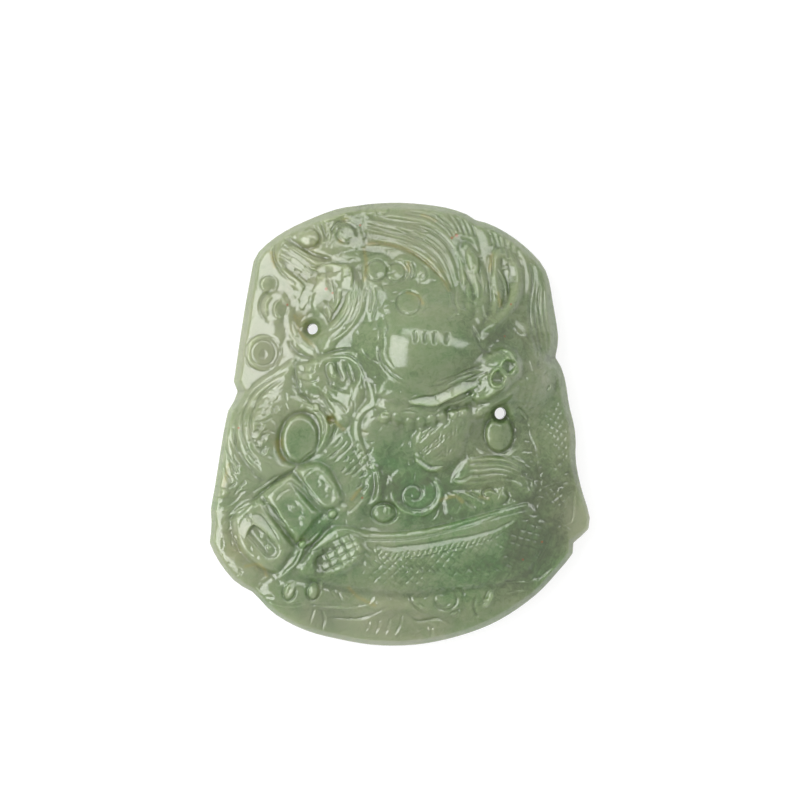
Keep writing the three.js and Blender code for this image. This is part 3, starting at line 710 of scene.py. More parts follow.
def carve_left_fin():
    glints(0.27, [(-21.6, -2.5), (-21.3, -3.4), (-20.8, -4.2)],
           [(-20.5, -4.9), (-20.1, -5.9), (-19.8, -6.3)])
    strokes(0.14, 0.28, [(-22, -1.8), (-21.8, -3.4), (-21.2, -4.6)],
            [(-20.9, -0.4), (-20.7, -2), (-20.4, -3.6)], [(-22.3, -4.6), (-21.9, -6.2), (-21.1, -7.4)],
            [(-21.3, -4.7), (-20.6, -6.1)], [(-20.9, -4.3), (-20.2, -5.4)])
    glints(0.21, [(-20.3, -8), (-19.3, -7.9)], [(-20.2, -7.3), (-19.5, -7.6)])
    strokes(0.14, 0.25, [(-20.9, -8.8), (-20.1, -7.6), (-19.2, -6.7)], [(-21.6, -7.8), (-20.6, -7.2)],
            [(-20.4, -8.6), (-19.4, -8.2)])
    boss(-22.4, -8.5, 0.9, 0.6, 0.35)


def carve_band():
    lozenge((-18.3, -13.3), (-16.3, -15.6), 1.05, 0.35, 0.1, 0.15)
    lozenge((-13.7, -10.3), (-12.0, -12.3), 1.25, 0.12, 0.06, 0.06)
    lozenge((-10.9, -6.9), (-9.2, -8.8), 1.1, 0.12, 0.06, 0.06)
    strokes(0.3, 0.4, [(-17.3, -9.9), (-16.2, -11.2), (-14.4, -13.8), (-13.4, -15.2)],
            [(-13.9, -6.9), (-12.8, -8), (-10.4, -10.6), (-9.6, -11.6)])
    for x, y in [(-13.5, -10.4), (-12.3, -11.6), (-10, -7.2), (-9.1, -8.1), (-17.2, -13.8), (-16.5, -15.3)]:
        boss(x, y, 0.4, 0.3, 0.14, turn=-40)
    strokes(0.2, 0.35,
            [(-22, -11.9), (-20, -10.9), (-18.5, -9.4), (-16.2, -7.4), (-14, -6), (-12.6, -4.8),
             (-11.2, -3.6)])
    glints(0.27, [(-18.8, -8.6), (-17, -7.5), (-15.2, -6.2)])
    glints(0.2, [(-18.7, -9.4), (-18.2, -10.1)], [(-17.8, -9.2), (-17.9, -10)],
           [(-17.3, -8.9), (-17, -9.8)], [(-16.9, -8.9), (-15.8, -7.8)], [(-16.6, -9.1), (-16, -8.5)])
    rod = [(-15, -18.9), (-13.8, -17.7), (-12.8, -16), (-12.2, -15), (-11.1, -14.2), (-10.1, -13.2),
           (-9.3, -12), (-8.6, -11.1)]
    strokes(0.5, -0.15, rod)
    for x, y in [(-12.3, -14.9), (-8.6, -11.1)]:
        boss(x, y, 0.55, 0.5, 0.3, turn=40)
        ring(x, y, 0.7, 0.6, 0.13, 0.22, turn=40)


def carve_feathers():
    glints(0.2, [(-5, -7.5), (-5.6, -8)], [(-6.1, -8.4), (-5.2, -7.6), (-4.7, -6.6)])
    for i in range(34):
        x = -9.6 + 5.2 * scatter(i)
        y = -8.6 + 6.0 * scatter(i, 0.347)
        if -1.2 < (y + 5.6) + 0.95 * (x + 7) < 4.6:  # the slanting strip that the feathers fill
            length = 0.5 + 0.8 * scatter(i, 0.73)
            stroke([(x, y), (x + 0.5 * length, y + 0.5 * length), (x + 0.9 * length, y + length)], 0.11,
                   0.2)


def carve_lower_body():
    spine = [(-12.6, -18.4), (-8, -17.4), (-4, -17.2), (0, -17.3), (5, -17.1), (9, -16.5), (13, -15.4),
             (17.5, -13)]
    crest_height = -15.4 + 0.012 * (X + 1) ** 2 * (X > -1)
    where = owned_by("lower_body") * np.clip((crest_height - Y) / 0.8, 0, 1) * np.clip((X + 5) / 2, 0, 1)
    uneven = 0.8 + 0.25 * np.sin(0.9 * X) * np.cos(1.3 * Y)
    scales(spine, 4.2, 1.3, 0.085, where * uneven)
    lattice((-10.2, -17.5), (0.89, 0.45), 5.6, 3.6, 0.16)
    rope = [(-7.8, -12.9), (-6, -13.2), (-4.2, -13.8), (0, -13.8), (3, -13.4), (6, -12.7), (9, -11.9),
            (12, -11.1), (16, -10.1)]
    strokes(0.18, 0.15, [(x, y - 0.42) for x, y in rope])
    strokes(0.2, 0.3, [(x, y + 0.5) for x, y in rope])
    for i in range(60):
        x = -9 + 26 * scatter(i)
        y = -19.6 + 3.8 * scatter(i, 0.381) + 0.014 * x * abs(x)
        stroke([(x, y), (x + 0.3, y - 0.4), (x + 0.8, y - 0.9)], 0.1, 0.1)


def carve_right():
    spine = [(16.4, 5.6), (18, 3), (18.8, 0), (19.2, -3), (19.3, -6), (19.1, -9), (18.4, -12)]
    uneven = 0.6 + 0.4 * np.sin(1.1 * X + 0.4) * np.cos(0.9 * Y)
    scales(spine, 3.4, 1.05, 0.06, owned_by("right_coil") * uneven)
    glints(0.22, [(17.6, -8), (18.6, -7.5), (19.4, -7.3)], [(16.5, -9.4), (17.4, -9), (18.4, -9.6)])
    boss(11.8, -1.2, 3.4, 3.0, -0.5, power=0.8)
    boss(12.2, -1.1, 1.7, 2.2, 0.5, power=0.5)
    ring(12.2, -1.1, 1.9, 2.4, 0.2, 0.3)
    hair([(7.2, -7.2), (9.2, -7.4), (11.5, -6.9), (14.4, -7.2), (15.4, -8.6)],
         [(8.8, -3.9), (11, -3.5), (13.4, -3.9), (15.8, -5.4), (16.8, -7.8)], 5, 0.26, 0.34)
    glints(0.36, [(15, -6), (16, -6.8), (16.4, -8.2)])
    hair([(19.6, -13), (18.6, -16), (16, -19.8)], [(21, -13.4), (20.6, -16.3), (17.4, -19.6)], 6, 0.16, 0.3)
    hair([(17.6, -13.6), (16.8, -16.4), (15.8, -18.8)], [(19.4, -13.6), (18.6, -16.2), (16.6, -19.4)], 5,
         0.14, 0.22)


def carve_centre():
    ring(1.9, -8.6, 3.0, 2.6, 0.2, -0.25, start=-190, end=40)
    ring(1.9, -8.4, 2.4, 2.1, 0.24, 0.25, start=-170, end=60)
    spiral(1.5, -8.7, 0.25, 1.7, 1.3, 150, 0.2, 0.22)
    glints(0.22, [(2, -7.4), (2.8, -7.9), (2.9, -9)])
    ring(-2.2, -11, 1.55, 1.25, 0.18, 0.3)
    boss(-1.7, -10.7, 0.5, 0.6, 0.2)
    strokes(0.5, -0.7, [(-3.9, -4.8), (-3, -6.2), (-2.8, -8), (-3.2, -9.4), (-4.3, -10.2)])
    glints(0.24, [(-1.6, -6.2), (-1.3, -7), (-0.9, -7.6)], [(0.8, -4.2), (1, -5.2)],
           [(1.7, -5.8), (1.6, -6.8), (1.4, -7.2)])
    ring(11, -8.6, 0.9, 0.6, 0.18, 0.35, start=0, end=260)
    strokes(0.2, 0.3, [(8, -8.2), (9.4, -8.9), (10.6, -9.8)], [(7.9, -9.4), (9.2, -10.4)],
            [(13, -8), (13.4, -9), (13, -9.8)])


def carve_bottom():
    glints(0.27, [(-17, -22), (-14.6, -22.6), (-12, -22.4)],
           [(-11, -22.5), (-8, -22.9), (-5, -22.7), (-3.4, -22.2)], [(-7, -26.8), (-2, -27.1), (1.6, -27)])
    strokes(0.2, 0.28, [(-9.7, -24.1), (-6, -24.3), (-4, -23.9), (-2, -22.9)],
            [(1, -21.3), (1.4, -22.4), (2.4, -23.3), (3.2, -23.4)],
            [(0.6, -23.6), (2, -24.6), (4.4, -24.3), (6, -24.9)], [(9.3, -21.4), (9, -23), (9.6, -24.3)])
    for x in (-14, -11):
        boss(x, -20.7, 0.6, 1.0, 0.4, turn=-12)
        ring(x, -20.7, 0.8, 1.2, 0.16, 0.3, turn=-12, start=-200, end=20)
    ring(5.5, -22, 1.4, 1.2, 0.18, 0.28, start=150, end=400)
    ring(5.2, -22.1, 0.8, 0.7, 0.15, 0.2, start=170, end=340)
    boss(10.9, -21.9, 0.5, 1.2, 0.4, turn=-24)
    strokes(0.14, 0.3, [(10.2, -21.9), (10.9, -21.5)], [(10.2, -22.5), (10.8, -22.2)])
    glints(0.3, [(-15.9, -18.8), (-15.6, -19.3), (-15.2, -19.8)], [(-18.2, -17.6), (-17.2, -18.5)],
            [(13.4, -21.1), (14.6, -20.9), (15.6, -20.9)], [(-21.2, -14.3), (-20.9, -15), (-20.3, -15.8)],
            [(-21.5, -13.2), (-21.2, -12.6)], [(-20.8, -13.7), (-20.4, -14.3)])


def polish_head():
    """The brightest polished facets of the upper half."""
    glints(0.3, [(1, 27.3), (2.6, 27.1), (3.8, 26.6), (4.6, 25.8), (5.6, 25.2), (6.2, 24.6)],
           [(-4.4, 26.6), (-3, 26.2), (-1.5, 25.8), (0, 25.6), (2, 25.3), (3.8, 25.1)],
           [(-3.9, 25.4), (-2, 24.9), (-0.2, 24.7), (1.4, 24.2), (2.2, 23.9)],
           [(-2.6, 24.9), (-1, 24.6), (0.3, 24.1), (1.6, 23.5), (2.6, 23)],
           [(-4.2, 24.2), (-3.5, 23.5), (-2.5, 23.1), (-1.2, 22.9), (0.4, 22.5)])
    glints(0.2, [(0.4, 22.4), (1.8, 22), (3, 21.3), (4.2, 20.3)],
           [(4.9, 18.3), (5.3, 17.4), (5.9, 16.2), (5.9, 14.8)], [(6.7, 22.2), (6.9, 20.6), (7.2, 19.4)],
           [(7.1, 18), (6.8, 17), (6.75, 16.3)])
    glints(0.35, [(8.1, 22.5), (7.9, 21.9), (7.7, 21.3)], [(7.4, 21), (7.6, 20.6), (7.9, 20.2)],
           [(10.1, 14.9), (10.2, 14), (10.5, 13.1)],
           [(6.8, 16.2), (6.7, 15.3), (7, 14.3), (6.7, 13.6), (5.8, 13.1)])
    glints(0.6, [(12.7, 20.7), (13, 19.7), (13.2, 18.4)])
    glints(0.3, [(12.1, 19.3), (12.7, 18), (13, 16.8), (12.9, 15.6), (12.6, 14.6)])
    glints(0.2, [(12, 22.2), (13, 22.4), (14, 21.8), (14.8, 20.9), (15.2, 19.6), (15.2, 18)])
    glints(0.6, [(15.9, 22), (16.5, 21), (16.9, 20.2)])
    glints(0.2, [(5.2, 27), (6.2, 25.6)], [(6.6, 26.6), (7.6, 25.2)], [(8, 26.3), (8.7, 25.2), (9.3, 23.8)],
           [(10.6, 25), (11.1, 23.9)], [(12.6, 24.3), (13.1, 23.2)], [(14.3, 23.3), (15, 22)],
           [(16.3, 20.3), (16.5, 19), (16.4, 18)], [(17.8, 19), (18, 17.4)])
    glints(0.5, [(-14.9, 21.4), (-13.5, 20.6), (-12.3, 19.7), (-11, 18.9)],
           [(-14.9, 20.4), (-13.8, 19.5), (-12.4, 18.7), (-11.2, 17.8)])
    glints(0.3, [(-14.9, 22.2), (-13, 21.2), (-11.5, 20), (-10.5, 19.6)],
           [(-14.1, 18.5), (-13.2, 18), (-12, 16.9)],
           [(-13.6, 22.3), (-12, 21.3), (-10.8, 20.8), (-9.4, 20.5)])
    glints(0.9, [(-12.5, 14.7), (-12, 16.2), (-11.4, 17.4), (-10.8, 18.8)],
           [(-10.3, 19.3), (-9, 19.5), (-7.7, 19.4)], [(-7, 19.2), (-6.7, 18.2), (-6.9, 17), (-7.2, 16.2)])
    glints(0.5, [(-7.1, 15.9), (-7.7, 14.6), (-8.6, 13.3)])
    glints(0.4,
           [(-13.7, 12.6), (-13.2, 10.9), (-12.5, 9.8), (-11.5, 9.1), (-10.7, 8.6), (-10.3, 7.9),
            (-10.2, 7.2)], [(-12.2, 24.3), (-11.4, 24.9), (-10.8, 24.6)])
    glints(0.4, [(-3.2, 17.3), (-2.5, 16.6), (-2.4, 15.4), (-2.8, 14.2)])
    glints(0.2, [(-10, 24.8), (-9.6, 23.9), (-9.7, 23)], [(-6.4, 22.3), (-5.9, 21.6), (-5.5, 21.2)],
           [(-2.6, 17.4), (-1.2, 17.5), (-0.2, 17.8)], [(-1.7, 21.6), (-1.5, 21.1)],
           [(-2.3, 7.8), (-1.7, 7), (-1, 6.3), (0, 5.7), (0.7, 5.2)],
           [(4.4, 4.8), (5.3, 5.1), (6.2, 5.6), (8, 6.1)])
    glints(1.1, [(1.3, 2.9), (2.6, 3), (4, 3), (5.4, 3.6), (6.8, 4.3), (8.2, 4.85), (9.4, 5.1)])
    glints(0.3, [(3.1, 1.6), (4.1, 1.5), (4.8, 2.1), (5.4, 2.55), (6.6, 2.75), (7.8, 3.3), (9, 3.8)])
    glints(0.45, [(12.6, 9.2), (13.3, 8.8), (13.8, 8.1)], [(8.75, 3), (9, 2.3), (9.1, 1.6)],
           [(-2.5, 1.1), (-1.8, 0.9)])
    glints(0.65, [(1.8, -3.5), (2.1, -4.4), (2.8, -5), (3.7, -5.45), (4.9, -5.2)])
    glints(0.22, [(11.9, 7.3), (12.6, 6.4), (13.7, 6), (14.3, 6.8), (14, 7.8)],
           [(11.2, 4.5), (12.3, 4.5), (12.8, 5.7)])
    glints(0.25, [(4.4, -4.4), (4.8, -4.1), (5.4, -3.9)], [(8, -3.3), (8.2, -3.9), (8.5, -4.5)],
           [(14.1, 0.4), (14.2, -0.6), (14, -1.6)])


def polish_left():
    """The brightest polished facets of the left side and the band."""
    glints(0.22,
           [(-13.4, 8.1), (-14.6, 7.3), (-16, 6.2), (-17.5, 5.2), (-18.6, 4.3), (-19.4, 3.1), (-20, 1.9),
            (-20.4, 1)], [(-14.8, 6.3), (-16.3, 5.2), (-17.8, 4.1), (-18.8, 2.8), (-19.3, 1.2), (-19.4, 0)])
    glints(0.45, [(-8.8, 7.5), (-8.7, 6.6), (-8.3, 5.8)], [(-12.6, 5.3), (-12.6, 4.6)],
           [(-10.8, 2.5), (-10.4, 1.8)], [(-12.7, 7.1), (-12.3, 6.8)], [(-17, 1.5), (-16.4, 1.8)],
           [(-17.6, 0), (-17.5, -0.5), (-17.8, -1)], [(-17.2, -3), (-17, -3.5)],
           [(-17.8, -2.1), (-17.6, -2.5)])
    glints(0.3, [(-16.5, 4.2), (-15.5, 4.4), (-14.7, 5.1)], [(-18.1, 1.9), (-17, 2.6), (-15.7, 3.3)],
           [(-15.8, 1.6), (-15.5, 2.3)],
           [(-11.6, 1.4), (-11, 1.1), (-10.5, 0.4), (-10.2, -0.6), (-10.4, -1.8)],
           [(-9.5, 4.6), (-9.2, 3.9), (-8.7, 3.6)], [(-14.3, 3.9), (-14.3, 3.2)],
           [(-14.4, 2.7), (-14.1, 1.9)], [(-17.1, -1.4), (-16.9, -1.9)])
    glints(0.38, [(-20, -2.6), (-19.5, -3.6), (-18.8, -4.6), (-18, -5.3), (-17.6, -5.8)])
    glints(0.25, [(-18.9, -2.9), (-18, -3.7), (-17, -4.4), (-16, -4.8)],
           [(-19.2, -5.3), (-18.3, -6.3), (-17.4, -6.9)],
           [(-21.4, -0.6), (-21.3, -1.6), (-20.9, -2.8), (-20.7, -3.3)],
           [(-21.7, -5), (-21.3, -6), (-20.6, -6.9)], [(-19.6, -6.8), (-18.5, -7.2)],
           [(-22.8, -9.9), (-21.5, -10), (-20.6, -9.5), (-20, -8.7), (-19.2, -8.2)],
           [(-21.7, -11.5), (-20.4, -10.6), (-19, -9.8), (-18.1, -9.5)],
           [(-12.6, -4.7), (-11.9, -4), (-10.8, -3.2)])
    glints(0.35, [(-15.8, -7.6), (-16.9, -8.6)], [(-12, -6.5), (-11.2, -5.8), (-10.3, -5.3)],
           [(-15.6, -9.4), (-14.9, -8.6), (-14, -8.1), (-13.4, -8.3)])
    glint([(-16.5, -10.1), (-16, -10.8), (-15.2, -11.9), (-14.2, -12.9)], 0.95, 0.15)
    glints(0.2, [(-12.6, -6.9), (-11.3, -8.4), (-10.1, -9.6)], [(-13, -7.6), (-11.8, -8.9), (-10.5, -10)],
           [(-9.4, -6.8), (-8.6, -7.6), (-8.3, -8.6)], [(-11.5, -11.2), (-11.4, -12)],
           [(-19.4, -13.8), (-18.3, -15), (-17.3, -16.1), (-16.6, -16.6), (-15.7, -16.4)])
    glint([(-19.6, -13.8), (-19.6, -12.9), (-19.1, -12), (-18.3, -11.5)], 0.9, 1.4)
    glint([(-18.7, -11.6), (-17.9, -11.7), (-16.8, -12.7), (-15.9, -13.8), (-15, -14.9)], 1.5, 0.3)
    glints(0.35, [(-14.9, -18.8), (-14, -18), (-13.2, -17.2), (-12.6, -16), (-12.3, -15.2)],
           [(-12.2, -15), (-11.5, -14.6), (-10.8, -13.9), (-10.2, -13.3)],
           [(-6.6, -11), (-5.8, -10.4), (-5, -9.5), (-4.3, -9)])
    glints(0.2, [(-9.4, -4), (-8.6, -3.4), (-7.4, -2.5)], [(-8.4, -4.7), (-7.5, -3.8), (-6.5, -2.9)],
           [(-7.8, -13.1), (-6.4, -13.4), (-4.3, -14)], [(-6.7, -12.8), (-5.4, -13.2), (-4.7, -13.5)])


def polish_below():
    """The brightest polished facets of the lower body, the right side and the bottom."""
    glints(0.4, [(-3.9, -13.7), (-2.4, -13.85), (-1.4, -13.8)], [(-0.9, -13.8), (0.2, -13.7)],
           [(0.7, -13.6), (2.8, -13.3)], [(3.4, -13.2), (5.5, -12.9)],
           [(7, -12.8), (8.5, -12.4), (10.1, -11.9), (11.8, -11.3)])
    glints(0.2, [(0.7, -13.8), (2.5, -13.5), (4.2, -13.2), (5.6, -12.8)],
           [(12.2, -10.9), (14, -10.4), (15.6, -10.1)])
    crest = [(-2.9, -15.4), (-1.2, -15.8), (0.6, -15.7), (2.6, -15.5), (4.6, -15.1), (6.4, -14.7),
             (9, -14.2), (11.6, -13.4), (13.8, -12.2)]
    glint(crest, 1.5, 0.7)
    for i in range(24):
        x, y = along(curve(crest), (i + 0.4) / 25)
        reach = 0.4 * scatter(i)
        stroke([(x + 0.1, y - 0.1 - 0.5 * reach), (x - 0.2, y - 0.5), (x - 0.5, y - 1)], 0.12, 0.22)
    glints(0.35, [(-5, -14.8), (-4.2, -15.4), (-3.4, -16)], [(-4.6, -15.9), (-3.9, -16.7)],
           [(-4.7, -17), (-4.5, -17.6)], [(-3.2, -16.4), (-2.6, -17.3)])
    glints(0.2, [(0, -8.5), (0.3, -9.9), (1.5, -11), (2.9, -11.2), (4, -10.3), (4.7, -8.8)],
           [(0.3, -8.8), (1.3, -9.2)], [(6.8, -8.5), (6.9, -9.5), (7.2, -10)], [(7.3, -10.1), (6.8, -11.2)])
    glints(0.3, [(4.7, -10.4), (4.3, -11.5), (3.8, -11.9)], [(-1.6, -10.6), (-1.6, -11.4)],
           [(12.6, -7.9), (12.2, -8.8), (12, -9.4)])
    glints(0.5, [(6.6, -6.9), (7.4, -7.1), (8.6, -6.5)])
    glints(0.2, [(6.2, -6.6), (6.8, -6), (7.3, -5.4)], [(7.2, -6), (8.3, -5.8), (9.6, -5.4)],
           [(10, -5), (10.6, -5)])
    glints(0.35, [(14.6, 2), (15.2, 1.3), (15.8, 0.6), (16, -0.4)],
           [(16, -0.5), (16.1, -1.4), (16.6, -2.4), (17, -3.4)], [(15.2, -3.4), (16.1, -3.6)],
           [(18.6, 4.9), (18.3, 4.2)])
    glints(0.3, [(16.2, 10.3), (16.2, 9.7)], [(17, 9), (17, 8.5)], [(17.2, 7.9), (17.1, 7.3)],
           [(22, -8), (21.7, -9.5), (21.7, -11), (21.4, -12.2), (20.6, -12.6)])
    glints(0.18, [(18.6, -15), (17.6, -16.8), (17, -17.8)], [(19.8, -15.4), (19, -17.5)],
           [(18, -15.4), (17.2, -16.8)], [(17.8, 6.2), (18.8, 7.4), (19.3, 8.8)],
           [(13, -19.6), (15.5, -19.8), (17, -19.5)], [(15.9, 8), (16.3, 6.5)])
    glints(0.5, [(-13.4, -19.7), (-13.7, -20.4), (-14, -21.1)], [(3.5, -25.4), (3.8, -26), (3.9, -26.8)],
           [(-3.4, -21.6), (-3.8, -22.2)])
    glints(0.35, [(-10.8, -23), (-11.1, -24), (-11.4, -24.9)], [(-11.2, -20.2), (-11.2, -21)])
    glints(0.4, [(-4, -24.7), (-4.1, -25.4), (-4.3, -25.9)], [(-2.7, -24.6), (-2.8, -25.4), (-3.1, -26.2)],
           [(-1.4, -24.4), (-1.6, -25.4), (-1.9, -26.4)], [(0.1, -24), (-0.1, -25.2), (-0.7, -26.4)],
           [(-10.1, -19.5), (-10.1, -20.5)], [(-10, -23.2), (-9.6, -24.4), (-9.9, -25.8)],
           [(6.8, -20.6), (7.4, -20.9), (8.1, -22.2)], [(6.1, -23.8), (7.1, -23.4), (7, -24)],
           [(-7.9, -20.9), (-7.3, -22)], [(2.2, -22.5), (2.7, -23)])


def tool_marks():
    """Fine uneven marks of the carver's tools, on all but the polished parts."""
    smooth_parts = ("brow_dome", "round_disc", "small_knob", "left_pearl", "right_pearl", "ear", "side_tab",
                    "mane_top", "mane_left", "mane_right", "cloud_swirl")
    polished = np.any([owned_by(name) for name in smooth_parts], axis=0)
    polished |= (X < -14.5) & (Y > 5)  # the flat ground at the upper left
    rough = blur(np.where(polished, 0.0, 1.0), 0.4)
    before = H.copy()
    for i in range(TOOL_MARKS):
        x = -23 + 46 * scatter(i, 0.754877666)
        y = -27 + 54 * scatter(i, 0.569840291)
        turn = 2.2 * math.sin(0.31 * x + 0.17 * y) + 1.9 * math.cos(0.23 * y - 0.11 * x) + 0.8 * scatter(i)
        half = 0.25 + 0.45 * scatter(i, 0.414)
        dx, dy = half * math.cos(turn), half * math.sin(turn)
        stroke([(x - dx, y - dy), (x + 0.2 * dy, y - 0.2 * dx), (x + dx, y + dy)], 0.13, 0.07)
    H[:] = before + rough * (H - before)


def drill_mouths():
    """The stone falls away into the two drilled holes."""
    mouth_depth, mouth_width = 0.7, 0.4
    for x, y, radius in HOLES:
        away = np.clip(np.hypot(X - x, Y - y) - radius, 0, None)
        H[:] -= mouth_depth * np.exp(-(away / mouth_width) ** 2)


def bevel_rim():
    """The bevel round the outline, which cuts the relief off."""
    bevel = CHAMFER_FOOT + LEFT_SHOULDER * lower_left + CHAMFER_SLOPE * inside
    H[:] = -soft_higher(-H, -bevel, CHAMFER_SOFTNESS)


def sculpt():
    """The whole carving, from the rough forms to the polish. Facets are cut after the lines round them."""
    carve_layers()
    raise_muzzle()
    brow_cap()
    facets()
    H[:] = blur(H, 0.16)
    for carve in (carve_mane, carve_left_tuft, carve_crown, carve_locks, carve_ear, carve_head, carve_tongue,
                  carve_upper_left, carve_left, carve_claw, carve_left_fin, carve_band, carve_feathers,
                  carve_lower_body, carve_right, carve_centre, carve_bottom, tool_marks,
                  polish_head, polish_left, polish_below):
        carve()
    H[:] = blur(H, 0.05)
    drill_mouths()
    bevel_rim()
    H[:] = np.clip(H, LOWEST, TOP)


sculpt()


# ---- Colour zones and stains ----

# How green the stone is, as x, y, share.
GREENNESS = [
    (-18, 12, 0.0), (-14, 22, 0.15), (0, 26, 0.1), (4, 9, 0.45), (12, 6, 0.35), (17, 14, 0.2),
    (19, -3, 0.25), (-18, 0, 0.25), (-9, 4, 0.35), (-20, -15, 0.05), (-13, -11, 1.0), (-9.5, -7.5, 1.0),
    (-17, -13.5, 0.6), (2, -8, 0.95), (-1, -6, 0.8), (8, -12, 0.8), (8, -16, 0.75), (0, -17, 0.5),
    (-8, -17, 0.5), (0, -25, 0.1), (14, -22, 0.3), (-6, -5, 0.5), (5, -3, 0.25), (12, -6, 0.3),
    (22.5, -12, 0.0), (1, 17, 0.5), (-16, -6, 0.6), (-18, -10, 0.5), (14, -14, 0.7), (10, -18, 0.8),
]
# How much paler or deeper the stone looks, as x, y, share: partly its own tone and partly painted light and
# shade, palest at the upper left, where the key light falls, and deepest at the lower right, which turns away
# from it.
TONE_AND_LIGHTING = [
    (-18, 9, 0.5), (-18, 6, 0.4), (-10, 20, 0.22), (-16, 18, 0.22), (-6, 25, -0.25), (-13, 25, 0.2),
    (0, 26, 0.05), (10, 24, -0.05), (17, 16, -0.1), (18, 8, -0.12), (3, 8, -0.05), (12, 9, -0.3),
    (-18, 0, 0.1), (-8, 4, 0.05), (-13, -2, -0.05), (2, -8, -0.25), (-2, -8, -0.4), (6, -10, -0.3),
    (10, -6, -0.05), (14, 0, -0.12), (3, 0, 0.05), (8, 1.5, 0.15), (10, 5.5, -0.3), (-4, 6.5, -0.3),
    (16, 3, -0.05), (18, -9, -0.5), (22.5, -12, 0.35), (-16, -6, 0.45), (-10, -6, 0.15), (-14, 2, 0.2),
    (-2, 1.5, 0.2), (-7, -9, 0.25), (-18, -10, 0.2), (-21, -12, 0.1), (-10, -14, -0.2), (10, -14, 0.15),
    (-10, -18, -0.3), (-13, -12, 0.05), (-17, -14, 0.15), (-2, -14, 0.2), (0, -18, -0.15), (10, -18, -0.3),
    (15, -16, -0.5), (19, -13, -0.5), (-14, -22, 0.1), (-10, -26.5, 0.9), (-17.5, -21.5, -0.2),
    (-10, -22, 0.3), (-18, -18, 0.25), (-4, -26.5, 0.35), (3, -25, 0.1), (9, -22, -0.05), (3, 17.5, 0.15),
]
# Iron stains, as x, y, radius, strength: small ones in the creases, and broad faint ones.
STAINS = [
    (-12.6, 13.2, 1.0, 0.6), (-13.2, 12, 0.8, 0.4), (-11.4, 23.4, 1.1, 0.6), (-7.1, 25.9, 0.5, 0.9),
    (-7.6, 23.0, 0.4, 0.9), (-15.4, -2.3, 0.9, 0.6), (-8.9, 0.8, 0.6, 0.7), (3.5, 20.3, 0.6, 0.6),
    (4.8, 19, 0.7, 0.6), (5.6, 17.6, 0.6, 0.5), (11.2, 20.4, 0.7, 0.5), (1.7, 15.9, 0.7, 0.5),
    (-22.4, -6.5, 0.8, 0.5), (-21.8, -16.6, 1.3, 0.35), (-17.8, -17.6, 0.8, 0.35), (-6, -9.8, 0.6, 0.35),
    (6.6, 24, 0.4, 0.5), (-12, 19, 4, 0.16), (1, 20, 4, 0.14), (10, -8, 3, 0.16), (-20.5, -15.5, 2.5, 0.2),
    (-17, 1, 3, 0.12), (8, -22, 3, 0.12), (-15.8, 21, 0.8, 0.35), (-12.5, -14.2, 0.8, 0.25),
    (-4.6, -1, 0.5, 0.4), (0.6, 19.7, 0.4, 0.7), (-10.5, -21, 0.7, 0.3),
]
# Red-brown specks, as x, y, radius.
SPECKS = [
    (6.9, 23.7, 0.3), (6.3, 23.4, 0.22), (-9.4, 16.9, 0.28), (-8.6, 16.4, 0.2), (-14.3, 15, 0.2),
    (-20.3, -0.4, 0.2), (-5.2, 25, 0.2), (13.6, 15, 0.18), (17.6, -14.7, 0.2), (15.2, -16.9, 0.18),
    (-4.9, -9.1, 0.2), (12.8, 11, 0.16),
]
# Iron lines along creases.
CREASES = [
    [(-4.3, 22.6), (-2.5, 22.7), (-0.3, 22.2), (1.7, 21.3), (3.6, 19.8), (5.2, 18), (5.9, 16.8)],
    [(11.3, 21.3), (11, 19.3)], [(12, 16.4), (12.3, 14.8)], [(0.7, 16.4), (2, 16), (2.6, 15)],
    [(2.6, 26.3), (4.2, 25.6)], [(-15.4, -2), (-15.3, -3.5), (-14.6, -4.4)],
    [(-9.1, 0.7), (-8.2, 0.3), (-7.2, -0.6)], [(-4.7, 22), (-4.4, 20), (-4.6, 18)],
    [(0.8, 20.2), (0.9, 19.2)], [(-6.2, -9.3), (-5.2, -8)], [(4.9, -9.4), (6.6, -8.9), (7.6, -9.6)],
    [(9.8, -9), (10.8, -9.2)], [(-16.4, 21.6), (-16, 19.8)], [(-13.4, 13.6), (-12.6, 11.4), (-11, 9.8)],
    [(-21.6, -5), (-22.2, -7.6)], [(-19.4, -17.6), (-17.6, -17.4), (-16.8, -18.8)],
    [(-6.6, -20.4), (-5.4, -21.6), (-3.4, -22.6)],
]


def spots(places):
    """A field of soft spots, each given as x, y, radius, strength."""
    field = np.zeros_like(X)
    for x, y, radius, strength in places:
        field += strength * np.exp(-((X - x) ** 2 + (Y - y) ** 2) / radius ** 2)
    return field


def crease_stain():
    """The field of the iron lines."""
    stain = np.zeros_like(X)
    for points in CREASES:
        view, distance, _, _, _ = near(curve(points), 0.9)
        stain[view] = np.maximum(stain[view], 0.55 * np.exp(-(distance / 0.25) ** 2))
    return stain


def tint_field():
    """What the material reads at each grid point, as four channels.

    Red is the greenness, green the iron stain, blue the tone with its painted light and shade, and alpha the
    red-brown specks.
    """
    hollow = blur(H, 0.9) - H
    wide_hollow = blur(H, 2.6) - H
    stain = spots(STAINS) * np.clip(0.55 + 1.2 * hollow, 0.1, 1.6)
    stain = np.maximum(stain, crease_stain())
    # painted shade: the tone is lower in the hollows, where shade falls; the regional table adds painted
    # light and shade
    tone_and_shade = 0.5 - 0.12 * hollow - 0.08 * wide_hollow + shepard(TONE_AND_LIGHTING)
    specks = spots((x, y, radius, 1.0) for x, y, radius in SPECKS)
    return np.stack([shepard(GREENNESS), *(np.clip(field, 0, 1) for field in (stain, tone_and_shade, specks))], axis=-1)


# ---- The stone's mesh ----


def cell_values(field):
    """The mean of each grid cell's four corners."""
    return (field[:-1, :-1] + field[1:, :-1] + field[:-1, 1:] + field[1:, 1:]) / 4


